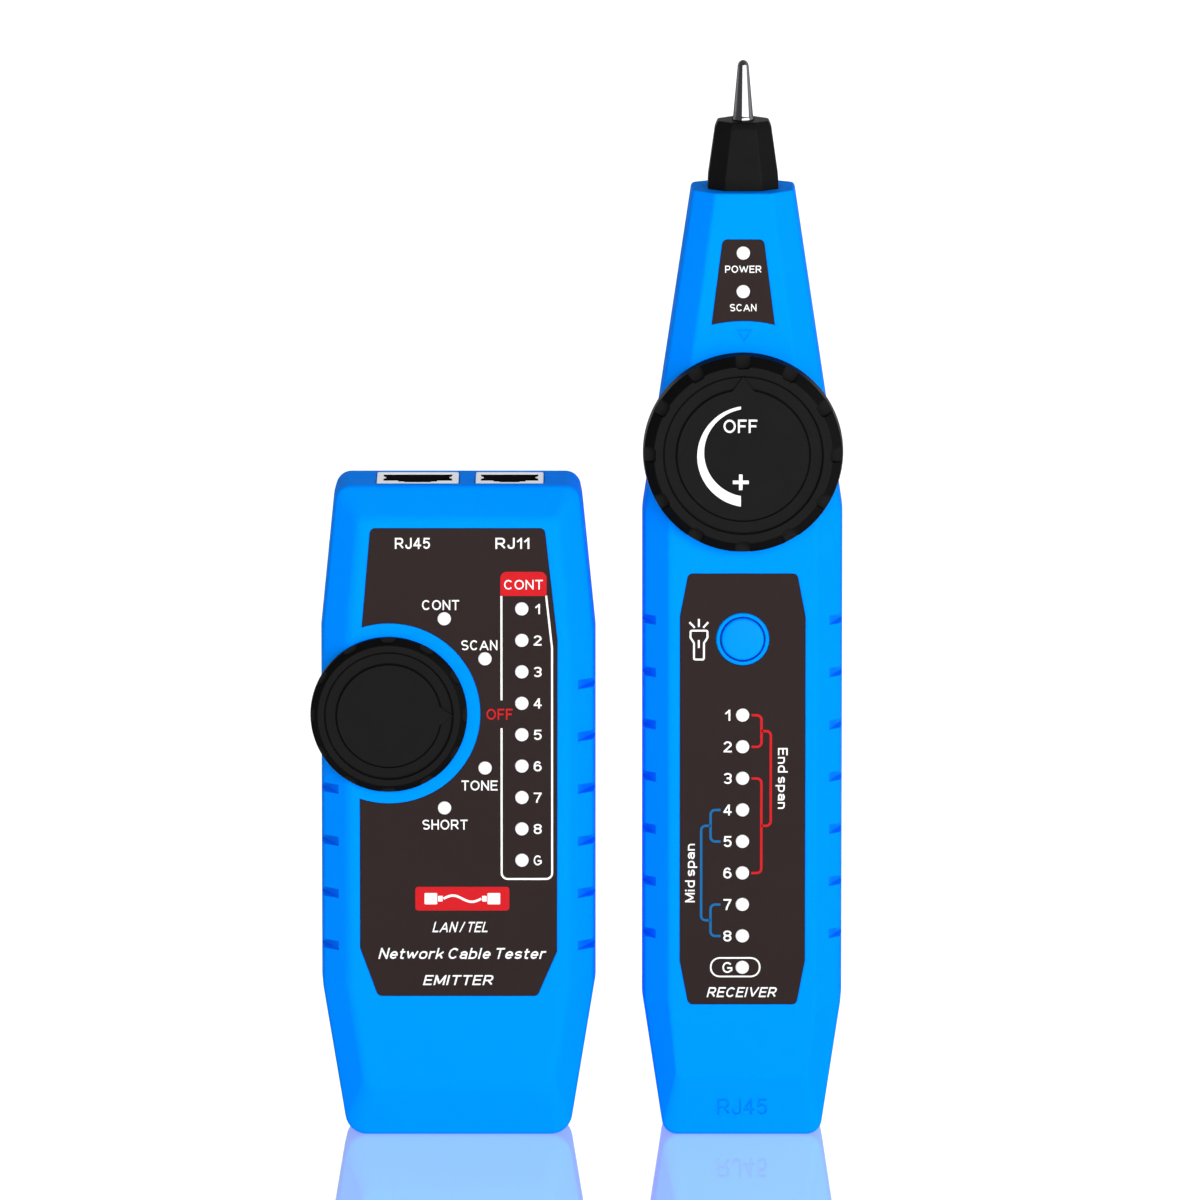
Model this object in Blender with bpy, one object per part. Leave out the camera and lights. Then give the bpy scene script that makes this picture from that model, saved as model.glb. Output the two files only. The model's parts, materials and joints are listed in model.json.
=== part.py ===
"""Network cable tester kit: an emitter and a receiver with a probe tip, both standing upright.

Every size below is in millimetres and is turned into metres when a mesh is made. Each unit has its own frame:
x to the right, y to the back with the parting plane at y = 0, z up from its base. Depths in front of the
parting plane are written as positive numbers, so depth 13 is the front face at y = -13.
"""

import math

import bmesh
import bpy
from mathutils import Matrix, Vector

MM = 0.001

# Kit layout
EMITTER_X = -20.65
RECEIVER_X = 28.95
KIT_Y = 2.5

# Both cases
HALF_DEPTH = 13.0
WALL = 1.8
GAP = 0.3
CHAMFER_DEPTH = 4.3
DRAFT = 0.3
INNER_CHAMFER = 7.6
INNER_FRONT = HALF_DEPTH - WALL
FRONT_INSET = 0.7
LABEL_THICKNESS = 0.4

# Emitter outline: half width, height, corner radius, corner steps
EMITTER_TOP = 115.4
EMITTER_SIDE = [
    (19.57, 0.0, 4.1, 4), (24.0, 26.9, 8.0, 2), (24.0, 89.5, 8.0, 2), (21.41, EMITTER_TOP, 3.0, 4),
]
EMITTER_FRONT = [
    (16.3, 9.35, 2.4, 4), (19.1, 28.5, 6.0, 2), (19.1, 88.5, 6.0, 2), (17.3, 110.1, 1.2, 4),
]
EMITTER_REAR = [
    (16.8, 7.0, 2.4, 4), (20.0, 28.2, 6.0, 2), (20.0, 88.6, 6.0, 2), (18.0, 110.5, 1.2, 4),
]
EMITTER_REAR_SIDE = 7.5

# Receiver outline, with a plain point where the back starts to slope
RECEIVER_TOP = 167.4
SLOPE_START = 104.0
RECEIVER_SIDE = [
    (13.87, 0.0, 3.0, 4), (17.5, 24.0, 8.0, 2), (17.5, SLOPE_START, 0.0, 0), (17.5, 110.5, 14.0, 3),
    (9.0, RECEIVER_TOP, 0.6, 2),
]
RECEIVER_FRONT = [
    (11.5, 11.2, 1.2, 4), (12.8, 25.5, 6.0, 2), (12.8, SLOPE_START, 0.0, 0), (12.8, 110.0, 14.0, 3),
    (4.85, RECEIVER_TOP, 0.4, 2),
]
RECEIVER_REAR = [
    (12.5, 5.0, 1.5, 4), (15.0, 24.5, 6.0, 2), (15.0, SLOPE_START, 0.0, 0), (15.0, 110.3, 14.0, 3),
    (4.85, RECEIVER_TOP, 0.4, 2),
]
RECEIVER_REAR_SIDE = 10.0
TOP_BACK = 3.7
TOP_REAR_SIDE = 1.0

# Grip grooves in the sides
GROOVE_PITCH = 9.27
GROOVE_HEIGHT = 1.6
EMITTER_GROOVE_TOP = 80.6
EMITTER_GROOVES = 6
RECEIVER_GROOVE_TOP = 91.9
RECEIVER_GROOVES = 7

# Selector knob on the emitter
SELECTOR_X = -12.05
SELECTOR_Z = 75.8
SELECTOR_RADIUS = 13.7
SELECTOR_FACE_RADIUS = 12.1
SELECTOR_TOP = 15.6
SELECTOR_CHANNEL = (9.0, 11.0)
LABEL_CUT_RADIUS = 16.0
LABEL_CUT_STEPS = 18
LABEL_LOW_LEFT = -17.1
LABEL_HIGH_LEFT = -16.7
MODE_LED_RADIUS = 19.35
MODE_LED_ANGLES = {"cont": 60, "scan": 30, "tone": -30, "short": -60}

# Volume knob on the receiver
VOLUME_Z = 122.2
VOLUME_RADIUS = 17.45
VOLUME_FACE_RADIUS = 15.4
VOLUME_TOP = 18.0
VOLUME_CHANNEL = (11.45, 13.65)

# Shared knob, shaft and switch sizes
KNOB_BACK = 13.3
HUB_RADIUS = 5.0
HUB_BACK = 10.0
HUB_CLEARANCE = 0.6
SHAFT_RADIUS = 2.7
BORE_RADIUS = 3.0
SWITCH_RADIUS = 8.0
SWITCH_FRONT = 7.4
SWITCH_BACK = -1.0
NOTCHES = 12
KNOB_SIDES = 48
SMALL_SIDES = 8
NOTCH_WIDTH = 2.7
CAP_THICKNESS = 0.75
CAP_STEPS = 28

# Sockets in the emitter's top face and the receiver's bottom face
SOCKET_BACK = 5.4
SOCKET_FRONT = 6.5
SOCKET_LENGTH = 14.4
MOUTH_DEPTH = 4.0
CAVITY_BACK = 3.5
CAVITY_FRONT = 3.7
LATCH_FRONT = 5.3
RECEIVER_MOUTH = 0.2

# Each socket: place along x, body width, cavity width, latch slot width
RJ45 = (-7.05, 14.35, 12.0, 6.8)
RJ11 = (8.97, 11.9, 10.0, 5.6)
CONTACT_PITCH = 1.02
CONTACT_WIDTH = 0.4

# Boards, light guides and LEDs
BOARD_FRONT = 9.3
BOARD_BACK = 7.7
LED_RADIUS = 1.05
LED_HOLE = 1.35
LED_FRONT = 12.9
LED_BACK = 9.6
GUIDE_FRONT = 10.9
GUIDE_HALF = 1.6
EMITTER_LED_X = 11.12
EMITTER_LED_TOP = 94.3
EMITTER_LED_PITCH = 5.568
RECEIVER_LED_TOP = 75.5
RECEIVER_LED_PITCH = 5.6
LED_COUNT = 9
POWER_LED_Z = 156.96
SCAN_LED_Z = 150.2

# Nine-volt battery, its bay and the battery covers
BATTERY = (26.5, 17.5, 48.5)
BATTERY_BACK = 11.5
SNAP_HEIGHT = 4.6
BAY_HALF = 13.6
BAY_WALL = 1.4
BAY_FLOOR = 6.4
BAY_FLOOR_THICKNESS = 0.8
BAY_HEIGHT = 54.0
DOOR_HALF = 14.2
DOOR_HEIGHT = 55.0
DOOR_FRONT = 11.8
EMITTER_BAY = 10.0
RECEIVER_BAY = 23.0

# Screws: places of each unit's pillars
SCREW_HEAD = 2.1
SCREW_SHANK = 1.1
PILLAR_RADIUS = 2.6
PILLAR_BORE = 1.5
COUNTERBORE = 2.4
SCREW_TIP = 11.0
EMITTER_SCREWS = {"upper_left": (-15.9, 97.5), "upper_right": (15.9, 97.5), "lower_left": (-16.3, 20.0),
                  "lower_right": (16.3, 20.0)}
RECEIVER_SCREWS = {"lower_left": (-11.2, 82.5), "lower_right": (11.2, 82.5), "upper": (0.0, 141.0)}

# Torch button, its switch and the torch LED
BUTTON_Z = 88.95
BUTTON_RADIUS = 3.7
BUTTON_HOLE = 4.0
BUTTON_RING = 4.7
BUTTON_FRONT = 13.4
BUTTON_EDGE = 0.4
BUTTON_FLANGE = (4.6, 10.3, 10.9)
PLUNGER_RADIUS = 1.7
PLUNGER_BACK = 6.5
TORCH_Y = 3.4
TORCH_RADIUS = 1.5

# Probe
PROBE_Y = -4.65
NOSE_BASE = 167.7
NOSE_TOP = 179.2
TIP_TOP = 189.6
TIP_BASE_RADIUS = 1.75
TIP_END_RADIUS = 0.95

# Loudspeaker
SPEAKER_Z = 98.0
SPEAKER_RADIUS = 9.7


def clear_scene():
    for item in list(bpy.data.objects):
        bpy.data.objects.remove(item)


def srgb(red, green, blue):
    """Turns 0-255 display values into the linear colour that Blender's shaders use."""
    levels = [value / 255 for value in (red, green, blue)]
    linear = [v / 12.92 if v <= 0.04045 else ((v + 0.055) / 1.055) ** 2.4 for v in levels]
    return (*linear, 1.0)


def finish(name, colour, roughness, metallic=0.0):
    material = bpy.data.materials.new(name)
    material.use_nodes = True
    shader = material.node_tree.nodes["Principled BSDF"]
    shader.inputs["Base Color"].default_value = colour
    shader.inputs["Roughness"].default_value = roughness
    shader.inputs["Metallic"].default_value = metallic
    return material


FINISHES = {
    "blue": (srgb(7, 157, 254), 0.38, 0.0),
    "dark": (srgb(32, 32, 33), 0.5, 0.0),
    "label": (srgb(53, 43, 44), 0.42, 0.0),
    "white": (srgb(240, 240, 240), 0.4, 0.0),
    "board": (srgb(20, 92, 52), 0.5, 0.0),
    "steel": (srgb(196, 197, 200), 0.28, 1.0),
    "gold": (srgb(214, 170, 80), 0.3, 1.0),
    "clear": (srgb(236, 238, 240), 0.2, 0.0),
    "battery": (srgb(60, 62, 66), 0.4, 0.2),
}


def new_piece(name, mesh, look, parent, origin=(0.0, 0.0, 0.0)):
    """One named object. The mesh is in the unit's millimetres; its origin is moved to the place given."""
    bmesh.ops.recalc_face_normals(mesh, faces=mesh.faces)
    to_metres = Matrix.Scale(MM, 4) @ Matrix.Translation(-Vector(origin))
    bmesh.ops.transform(mesh, matrix=to_metres, verts=mesh.verts)
    data = bpy.data.meshes.new(name)
    mesh.to_mesh(data)
    mesh.free()
    data.shade_smooth()
    data.set_sharp_from_angle(angle=math.radians(35))
    piece = bpy.data.objects.new(name, data)
    bpy.context.scene.collection.objects.link(piece)
    piece.parent = parent
    piece.location = Vector(origin) * MM
    if look:
        data.materials.append(finish(name, *FINISHES[look]))
    return piece


def change(piece, mesh, operation):
    """Cuts a shape from a piece or joins it to the piece; the shape stays as a hidden wire guide."""
    offset = piece.location / MM
    guide = new_piece(f"{piece.name}_guide_{len(piece.modifiers)}", mesh, None, piece.parent, offset)
    guide.hide_render = True
    guide.display_type = "WIRE"
    modifier = piece.modifiers.new(operation.title(), "BOOLEAN")
    modifier.operation = operation
    modifier.solver = "EXACT"
    modifier.object = guide
    return piece


def cut(piece, mesh):
    return change(piece, mesh, "DIFFERENCE")


def join(piece, mesh):
    return change(piece, mesh, "UNION")


# Outlines


def edge_normal(start, end):
    along = (end - start).normalized()
    return Vector((-along.y, along.x))


def rounded_corner(before, corner, after, radius, steps):
    """Points along the arc that rounds one corner of an outline."""
    if not steps:
        return [corner]
    back = (before - corner).normalized()
    ahead = (after - corner).normalized()
    half = back.angle(ahead) / 2
    centre = corner + (back + ahead).normalized() * radius / math.sin(half)
    reach = radius / math.tan(half)
    start = corner + back * reach - centre
    end = corner + ahead * reach - centre
    swing = start.angle(end)
    return [
        centre + (start * math.sin(swing * (1 - t)) + end * math.sin(swing * t)) / math.sin(swing)
        for t in (step / steps for step in range(steps + 1))
    ]


def half_outline(corners, inset=0.0):
    """Right-hand half of a symmetric outline, from its base to its top, moved inwards by an inset."""
    points = [Vector((x, z)) for x, z, _, _ in corners]
    ring = [Vector((-points[0].x, points[0].y)), *points, Vector((-points[-1].x, points[-1].y))]
    moved = []
    for before, here, after in zip(ring, ring[1:], ring[2:]):
        first = edge_normal(before, here)
        second = edge_normal(here, after)
        moved.append(here + (first + second) * inset / (1 + first.dot(second)))
    ring = [Vector((-moved[0].x, moved[0].y)), *moved, Vector((-moved[-1].x, moved[-1].y))]
    line = []
    for (_, _, radius, steps), before, here, after in zip(corners, ring, ring[1:], ring[2:]):
        line += rounded_corner(before, here, after, max(radius - inset, 0.3), steps)
    return line


def closed_outline(points, radius=0.0, steps=0):
    """A closed outline with every corner rounded alike."""
    vectors = [Vector(point) for point in points]
    line = []
    for index, corner in enumerate(vectors):
        after = vectors[(index + 1) % len(vectors)]
        line += rounded_corner(vectors[index - 1], corner, after, radius, steps)
    return line


def grown(points, amount):
    """A closed anticlockwise outline, moved outwards."""
    moved = []
    for index, here in enumerate(points):
        first = edge_normal(points[index - 1], here)
        second = edge_normal(here, points[(index + 1) % len(points)])
        moved.append(here - (first + second) * amount / (1 + first.dot(second)))
    return moved


# Solids, added to a bmesh so that several can share one


def add_prism(mesh, rings):
    """Skins a list of matching rings of 3-D points and caps both ends."""
    loops = [[mesh.verts.new(point) for point in ring] for ring in rings]
    for first, second in zip(loops, loops[1:]):
        for index in range(len(first)):
            following = (index + 1) % len(first)
            mesh.faces.new((first[index], first[following], second[following], second[index]))
    mesh.faces.new(loops[0])
    mesh.faces.new(loops[-1])
    return mesh


def plate(points, back, front, mesh=None):
    """A flat outline in x and z, between two depths."""
    rings = [[(x, -depth, z) for x, z in points] for depth in (back, front)]
    return add_prism(mesh or bmesh.new(), rings)


def block(low, high, mesh=None):
    corners = [(low[0], low[2]), (high[0], low[2]), (high[0], high[2]), (low[0], high[2])]
    return plate(corners, -high[1], -low[1], mesh)


def rod(centre, radius, back, front, sides=16, mesh=None):
    """A round bar that points to the front, between two depths."""
    x, z = centre
    turns = [2 * math.pi * (side + 0.5) / sides for side in range(sides)]
    return plate([(x + radius * math.cos(a), z + radius * math.sin(a)) for a in turns], back, front, mesh)


def upright(centre, sections, sides=16, mesh=None):
    """A round bar that stands upright: sections are (radius, height)."""
    x, y = centre
    turns = [2 * math.pi * (side + 0.5) / sides for side in range(sides)]
    rings = [[(x + r * math.cos(a), y + r * math.sin(a), z) for a in turns] for r, z in sections]
    return add_prism(mesh or bmesh.new(), rings)


def turned(centre, profile, sides):
    """A body turned about a front-to-back axis. The profile is (radius, depth), from axis to axis."""
    mesh = bmesh.new()
    x, z = centre
    line = [mesh.verts.new((x + radius, -depth, z)) for radius, depth in profile]
    edges = [mesh.edges.new(pair) for pair in zip(line, line[1:])]
    bmesh.ops.spin(
        mesh, geom=line + edges, cent=(x, 0, z), axis=(0, 1, 0), angle=2 * math.pi, steps=sides,
        use_merge=True,
    )
    bmesh.ops.remove_doubles(mesh, verts=mesh.verts, dist=0.001)
    return mesh


def tray(rings):
    """A case half: symmetric rings from the outer face round the rim to the inner face, with ladder caps."""
    mesh = bmesh.new()
    loops = []
    for ring in rings:
        right = [mesh.verts.new((x, y, z)) for x, y, z in ring]
        left = [mesh.verts.new((-x, y, z)) for x, y, z in reversed(ring)]
        loops.append(right + left)
    for first, second in zip(loops, loops[1:]):
        for index in range(len(first)):
            following = (index + 1) % len(first)
            mesh.faces.new((first[index], first[following], second[following], second[index]))
    for loop in (loops[0], loops[-1]):
        count = len(loop)
        for index in range(count // 2 - 1):
            mesh.faces.new((loop[index], loop[index + 1], loop[count - 2 - index], loop[count - 1 - index]))
    return mesh


def ring(corners, level, inset=0.0):
    """One ring of a case half. The level is a y, or a rule that gives y from the height."""
    rule = level if callable(level) else lambda height: level
    return [(x, rule(z), z) for x, z in half_outline(corners, inset)]


def drafted(corners, level):
    """A ring that is drawn in at its sides only, so that the base and the top stay flat."""
    rule = level if callable(level) else lambda height: level
    height = corners[-1][1]
    spread = height / (height - 2 * DRAFT)
    line = [(x, (z - DRAFT) * spread) for x, z in half_outline(corners, DRAFT)]
    return [(x, rule(z), z) for x, z in line]


def sloping(low, high):
    """A rule for the receiver's back: y keeps its low value up to the slope, then runs to its high value."""
    def rule(height):
        share = max(0.0, (height - SLOPE_START) / (RECEIVER_TOP - SLOPE_START))
        return low + (high - low) * share
    return rule


def front_case(side, face):
    half_gap = GAP / 2
    return tray([
        ring(face, -HALF_DEPTH),
        drafted(side, CHAMFER_DEPTH - HALF_DEPTH),
        ring(side, -half_gap),
        ring(side, -half_gap, WALL),
        ring(side, -INNER_CHAMFER, WALL),
        ring(face, -INNER_FRONT, FRONT_INSET),
    ])


# Groups of holes and pillars


def led_heights(top, pitch):
    return [top - pitch * index for index in range(LED_COUNT)]


def led_holes(places):
    mesh = bmesh.new()
    for place in places:
        rod(place, LED_HOLE, INNER_FRONT - 1, HALF_DEPTH + 1, SMALL_SIDES, mesh)
    return mesh


def screw_bosses(places):
    mesh = bmesh.new()
    for place in places:
        rod(place, PILLAR_RADIUS, BOARD_BACK - 0.1, INNER_FRONT + 0.5, SMALL_SIDES, mesh)
    return mesh


def boss_bores(places):
    mesh = bmesh.new()
    for place in places:
        rod(place, PILLAR_BORE, BOARD_BACK - 1, INNER_FRONT + 0.2, SMALL_SIDES, mesh)
    return mesh


def pillars(places, back):
    mesh = bmesh.new()
    for place in places:
        rod(place, PILLAR_RADIUS, 1.2 - back(place[1]), BOARD_BACK - 0.4, SMALL_SIDES, mesh)
    return mesh


def pillar_bores(places, back):
    """Each hole is wide at the back, for the screw's head, and narrow in front of it."""
    mesh = bmesh.new()
    for (x, z) in places:
        turns = [2 * math.pi * (side + 0.5) / SMALL_SIDES for side in range(SMALL_SIDES)]
        rings = [
            [(x + radius * math.cos(a), y, z + radius * math.sin(a)) for a in turns]
            for radius, y in ((COUNTERBORE, 14.0), (COUNTERBORE, back(z) - 2.6), (PILLAR_BORE, back(z) - 2.6),
                              (PILLAR_BORE, -BOARD_BACK))
        ]
        add_prism(mesh, rings)
    return mesh


def grooves(side, top, count):
    """Grip grooves cut into both flanks, from the front chamfer to the back one."""
    mesh = bmesh.new()
    for index in range(count):
        z = top - GROOVE_PITCH * index
        for sign in (-1, 1):
            outline = [(side - 0.15, -2.5), (side + 0.5, -2.5), (side + 0.5, -10.9), (side - 2.7, -10.9)]
            rings = [
                [(sign * x, y, height) for x, y in outline]
                for height in (z - GROOVE_HEIGHT / 2, z + GROOVE_HEIGHT / 2)
            ]
            add_prism(mesh, rings)
    return mesh


def bay_box(base):
    """The moulded battery box behind the rear wall, before it is hollowed."""
    return block(
        (-BAY_HALF - BAY_WALL, -BAY_FLOOR - BAY_FLOOR_THICKNESS, base - BAY_WALL),
        (BAY_HALF + BAY_WALL, 11.7, base + BAY_HEIGHT + BAY_WALL),
    )


def bay_hollow(base):
    """The battery space with the wider ledge that the cover sits on."""
    rings = []
    for y, half, low, high in (
        (-BAY_FLOOR, BAY_HALF, 0.0, BAY_HEIGHT),
        (DOOR_FRONT - GAP, BAY_HALF, 0.0, BAY_HEIGHT),
        (DOOR_FRONT - GAP, DOOR_HALF + GAP, -0.5 - GAP, DOOR_HEIGHT - 0.5 + GAP),
        (HALF_DEPTH + 1, DOOR_HALF + GAP, -0.5 - GAP, DOOR_HEIGHT - 0.5 + GAP),
    ):
        floor, ceiling = base + low, base + high
        rings.append([(-half, y, floor), (half, y, floor), (half, y, ceiling), (-half, y, ceiling)])
    return add_prism(bmesh.new(), rings)


# Pieces that both units have


def make_battery(unit, base, parent):
    width, depth, height = BATTERY
    bottom = base + GAP
    front = BATTERY_BACK - depth
    outline = closed_outline([(-width / 2, bottom), (width / 2, bottom), (width / 2, bottom + height),
                              (-width / 2, bottom + height)], 2.0, 3)
    new_piece(f"{unit}_battery", plate(outline, -BATTERY_BACK, -front), "battery", parent)
    low = bottom + height + GAP
    snap = block((-12.5, -3.5, low), (12.5, 9.0, low + SNAP_HEIGHT - GAP))
    new_piece(f"{unit}_battery_snap", snap, "dark", parent)


def make_door(unit, base, parent):
    low = base - 0.5
    outline = closed_outline([(-DOOR_HALF, low), (DOOR_HALF, low), (DOOR_HALF, low + DOOR_HEIGHT),
                              (-DOOR_HALF, low + DOOR_HEIGHT)], 1.0, 2)
    door = plate(outline, -HALF_DEPTH, -DOOR_FRONT)
    new_piece(f"{unit}_battery_door", door, "blue", parent, (0, DOOR_FRONT, base + DOOR_HEIGHT / 2))


def make_screws(unit, places, back, parent):
    for label, (x, z) in places.items():
        head = back(z) - 2.3
        profile = [(0, -head - 1.6), (SCREW_HEAD, -head - 1.3), (SCREW_HEAD, -head), (SCREW_SHANK, -head),
                   (SCREW_SHANK, SCREW_TIP - 1), (0, SCREW_TIP)]
        new_piece(f"{unit}_screw_{label}", turned((x, z), profile, SMALL_SIDES), "steel", parent)


def socket_cavity(width, latch):
    """The plug's space in plan: a rectangle with the latch slot towards the front."""
    half = width / 2
    return [(half, -CAVITY_FRONT), (half, CAVITY_BACK), (-half, CAVITY_BACK), (-half, -CAVITY_FRONT),
            (-latch / 2, -CAVITY_FRONT), (-latch / 2, -LATCH_FRONT + 0.6), (-latch / 2 + 1, -LATCH_FRONT),
            (latch / 2 - 1, -LATCH_FRONT), (latch / 2, -LATCH_FRONT + 0.6), (latch / 2, -CAVITY_FRONT)]


def make_socket(name, size, ways, mouth, inwards, parent):
    """A modular socket. The mouth is the height of its open end; inwards is +1 or -1 along z."""
    x, width, cavity, latch = size
    floor = mouth + inwards * SOCKET_LENGTH
    low, high = sorted((mouth, floor))
    body = block((x - width / 2, -SOCKET_FRONT, low), (x + width / 2, SOCKET_BACK, high))
    socket = new_piece(name, body, "white", parent)
    inner = floor - inwards * 1.4
    plan = socket_cavity(cavity, latch)
    rings = [[(x + px, py, z) for px, py in plan] for z in (mouth - inwards, inner)]
    cut(socket, add_prism(bmesh.new(), rings))
    span = CONTACT_PITCH * ways
    low, high = sorted((inner - inwards * GAP, inner - inwards * (GAP + 1.6)))
    bar = block((x - span / 2, 2.5, low), (x + span / 2, CAVITY_BACK - GAP, high))
    comb = new_piece(f"{name}_contacts", bar, "gold", parent)
    prongs = bmesh.new()
    low, high = sorted((inner - inwards * (GAP + 1.0), inner - inwards * 9.5))
    for way in range(ways):
        middle = x + CONTACT_PITCH * (way - (ways - 1) / 2)
        block((middle - CONTACT_WIDTH / 2, 2.7, low), (middle + CONTACT_WIDTH / 2, 3.1, high), prongs)
    join(comb, prongs)


def make_switch(name, shaft_name, centre, tip, base, body):
    """A round rotary switch behind the board, and the shaft that turns in it."""
    switch = new_piece(name, rod(centre, SWITCH_RADIUS, SWITCH_BACK, SWITCH_FRONT, 20), "dark", base)
    cut(switch, rod(centre, BORE_RADIUS, 1.9, SWITCH_FRONT + 1))
    x, z = centre
    new_piece(shaft_name, rod(centre, SHAFT_RADIUS, 2.2, tip), "steel", body, (x, 0, z))


def knob_notches(centre, inner, back, front):
    """Finger notches round a knob's rim."""
    mesh = bmesh.new()
    x, z = centre
    for step in range(NOTCHES):
        turn = 2 * math.pi * step / NOTCHES
        along = Vector((math.cos(turn), math.sin(turn)))
        across = Vector((-along.y, along.x)) * NOTCH_WIDTH / 2
        middle = Vector((x, z))
        corners = [middle + along * inner - across, middle + along * (inner + 8) - across,
                   middle + along * (inner + 8) + across, middle + along * inner + across]
        plate(corners, back, front, mesh)
    return mesh


def knob_cap(centre, radius, reach, half_base, pointer_turn, back, front):
    """The printed disc in the middle of a knob, with its pointed tongue."""
    x, z = centre
    start = pointer_turn + math.asin(half_base / radius)
    sweep = 2 * math.pi - 2 * math.asin(half_base / radius)
    turns = [start + sweep * step / CAP_STEPS for step in range(CAP_STEPS + 1)]
    outline = [(x + radius * math.cos(turn), z + radius * math.sin(turn)) for turn in turns]
    outline.append((x + reach * math.cos(pointer_turn), z + reach * math.sin(pointer_turn)))
    return plate(outline, back, front)


# Emitter


def emitter_label_outline():
    """Dark face label: a tapered plate with a round bite that clears the selector knob."""
    start = -math.acos((LABEL_LOW_LEFT - SELECTOR_X) / LABEL_CUT_RADIUS)
    end = math.acos((LABEL_HIGH_LEFT - SELECTOR_X) / LABEL_CUT_RADIUS)
    turns = [start + (end - start) * step / LABEL_CUT_STEPS for step in range(LABEL_CUT_STEPS + 1)]
    bite = [(SELECTOR_X + LABEL_CUT_RADIUS * math.cos(turn), SELECTOR_Z + LABEL_CUT_RADIUS * math.sin(turn))
            for turn in turns]
    corners = [(LABEL_LOW_LEFT, 34.2), (-14.0, 25.7), (13.8, 25.7), (17.2, 33.6), (17.3, 88.8), (15.1, 108.5),
               (-15.2, 108.5)]
    return [Vector(point) for point in [*corners, *reversed(bite)]]


def emitter_led_places():
    column = [(EMITTER_LED_X, z) for z in led_heights(EMITTER_LED_TOP, EMITTER_LED_PITCH)]
    return column, {label: mode_led_place(angle) for label, angle in MODE_LED_ANGLES.items()}


def mode_led_place(angle):
    turn = math.radians(angle)
    return (SELECTOR_X + MODE_LED_RADIUS * math.cos(turn), SELECTOR_Z + MODE_LED_RADIUS * math.sin(turn))


def flat_back(height):
    return HALF_DEPTH


def make_emitter_shells(parent):
    column, modes = emitter_led_places()
    screws = list(EMITTER_SCREWS.values())
    knob = (SELECTOR_X, SELECTOR_Z)
    front = new_piece("emitter_front_shell", front_case(EMITTER_SIDE, EMITTER_FRONT), "blue", parent)
    join(front, screw_bosses(screws))
    cut(front, boss_bores(screws))
    outline = grown(emitter_label_outline(), GAP)
    cut(front, plate(outline, HALF_DEPTH - LABEL_THICKNESS - GAP, HALF_DEPTH + 1))
    holes = led_holes([*column, *modes.values()])
    cut(front, rod(knob, HUB_RADIUS + HUB_CLEARANCE, INNER_FRONT - 1, HALF_DEPTH + 1, 20, holes))
    cut(front, grooves(24.0, EMITTER_GROOVE_TOP, EMITTER_GROOVES))
    cut(front, socket_mouths())
    half_gap = GAP / 2
    rear = new_piece("emitter_rear_shell", tray([
        ring(EMITTER_REAR, HALF_DEPTH),
        drafted(EMITTER_SIDE, EMITTER_REAR_SIDE),
        ring(EMITTER_SIDE, half_gap),
        ring(EMITTER_SIDE, half_gap, WALL),
        ring(EMITTER_SIDE, EMITTER_REAR_SIDE - 1, WALL),
        ring(EMITTER_REAR, INNER_FRONT, FRONT_INSET),
    ]), "blue", parent)
    join(rear, bay_box(EMITTER_BAY))
    join(rear, pillars(screws, flat_back))
    cut(rear, bay_hollow(EMITTER_BAY))
    cut(rear, pillar_bores(screws, flat_back))
    cut(rear, socket_mouths())


def socket_mouths():
    mesh = bmesh.new()
    for x, width, _, _ in (RJ45, RJ11):
        half = width / 2 + GAP
        low, high = EMITTER_TOP - MOUTH_DEPTH, EMITTER_TOP + MOUTH_DEPTH
        block((x - half, -SOCKET_FRONT - GAP, low), (x + half, SOCKET_BACK + GAP, high), mesh)
    return mesh


def make_emitter_board(parent):
    outline = closed_outline([(-17.4, 12.0), (17.4, 12.0), (17.4, 109.5), (-17.4, 109.5)], 1.5, 2)
    board = new_piece("emitter_main_board", plate(outline, BOARD_BACK, BOARD_FRONT), "board", parent)
    holes = bmesh.new()
    for place in EMITTER_SCREWS.values():
        rod(place, PILLAR_RADIUS + 0.4, BOARD_BACK - 1, BOARD_FRONT + 1, SMALL_SIDES, holes)
    rod((SELECTOR_X, SELECTOR_Z), SHAFT_RADIUS + 0.5, BOARD_BACK - 1, BOARD_FRONT + 1, 16, holes)
    cut(board, holes)


def make_light_guide(name, x, top, pitch, parent):
    bottom = top - pitch * (LED_COUNT - 1)
    low, high = bottom - GUIDE_HALF, top + GUIDE_HALF
    bar = block((x - GUIDE_HALF, -GUIDE_FRONT, low), (x + GUIDE_HALF, -LED_BACK, high))
    guide = new_piece(name, bar, "clear", parent)
    pips = bmesh.new()
    for z in led_heights(top, pitch):
        rod((x, z), LED_RADIUS, GUIDE_FRONT - 0.5, LED_FRONT, SMALL_SIDES, pips)
    join(guide, pips)


def make_emitter(base, selector, door):
    column, modes = emitter_led_places()
    make_emitter_shells(base)
    film = plate(emitter_label_outline(), HALF_DEPTH - LABEL_THICKNESS, HALF_DEPTH)
    label = new_piece("emitter_face_label", film, "label", base)
    cut(label, led_holes([*column, *modes.values()]))
    make_emitter_board(base)
    make_light_guide("emitter_light_guide", EMITTER_LED_X, EMITTER_LED_TOP, EMITTER_LED_PITCH, base)
    for mode, place in modes.items():
        led = rod(place, LED_RADIUS, LED_BACK, LED_FRONT, SMALL_SIDES)
        new_piece(f"mode_led_{mode}", led, "clear", base)
    make_socket("emitter_rj45_socket", RJ45, 8, EMITTER_TOP, -1, base)
    make_socket("emitter_rj11_socket", RJ11, 6, EMITTER_TOP, -1, base)
    make_battery("emitter", EMITTER_BAY, base)
    make_screws("emitter", EMITTER_SCREWS, flat_back, base)
    make_door("emitter", EMITTER_BAY, door)
    make_selector(base, selector)


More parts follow.
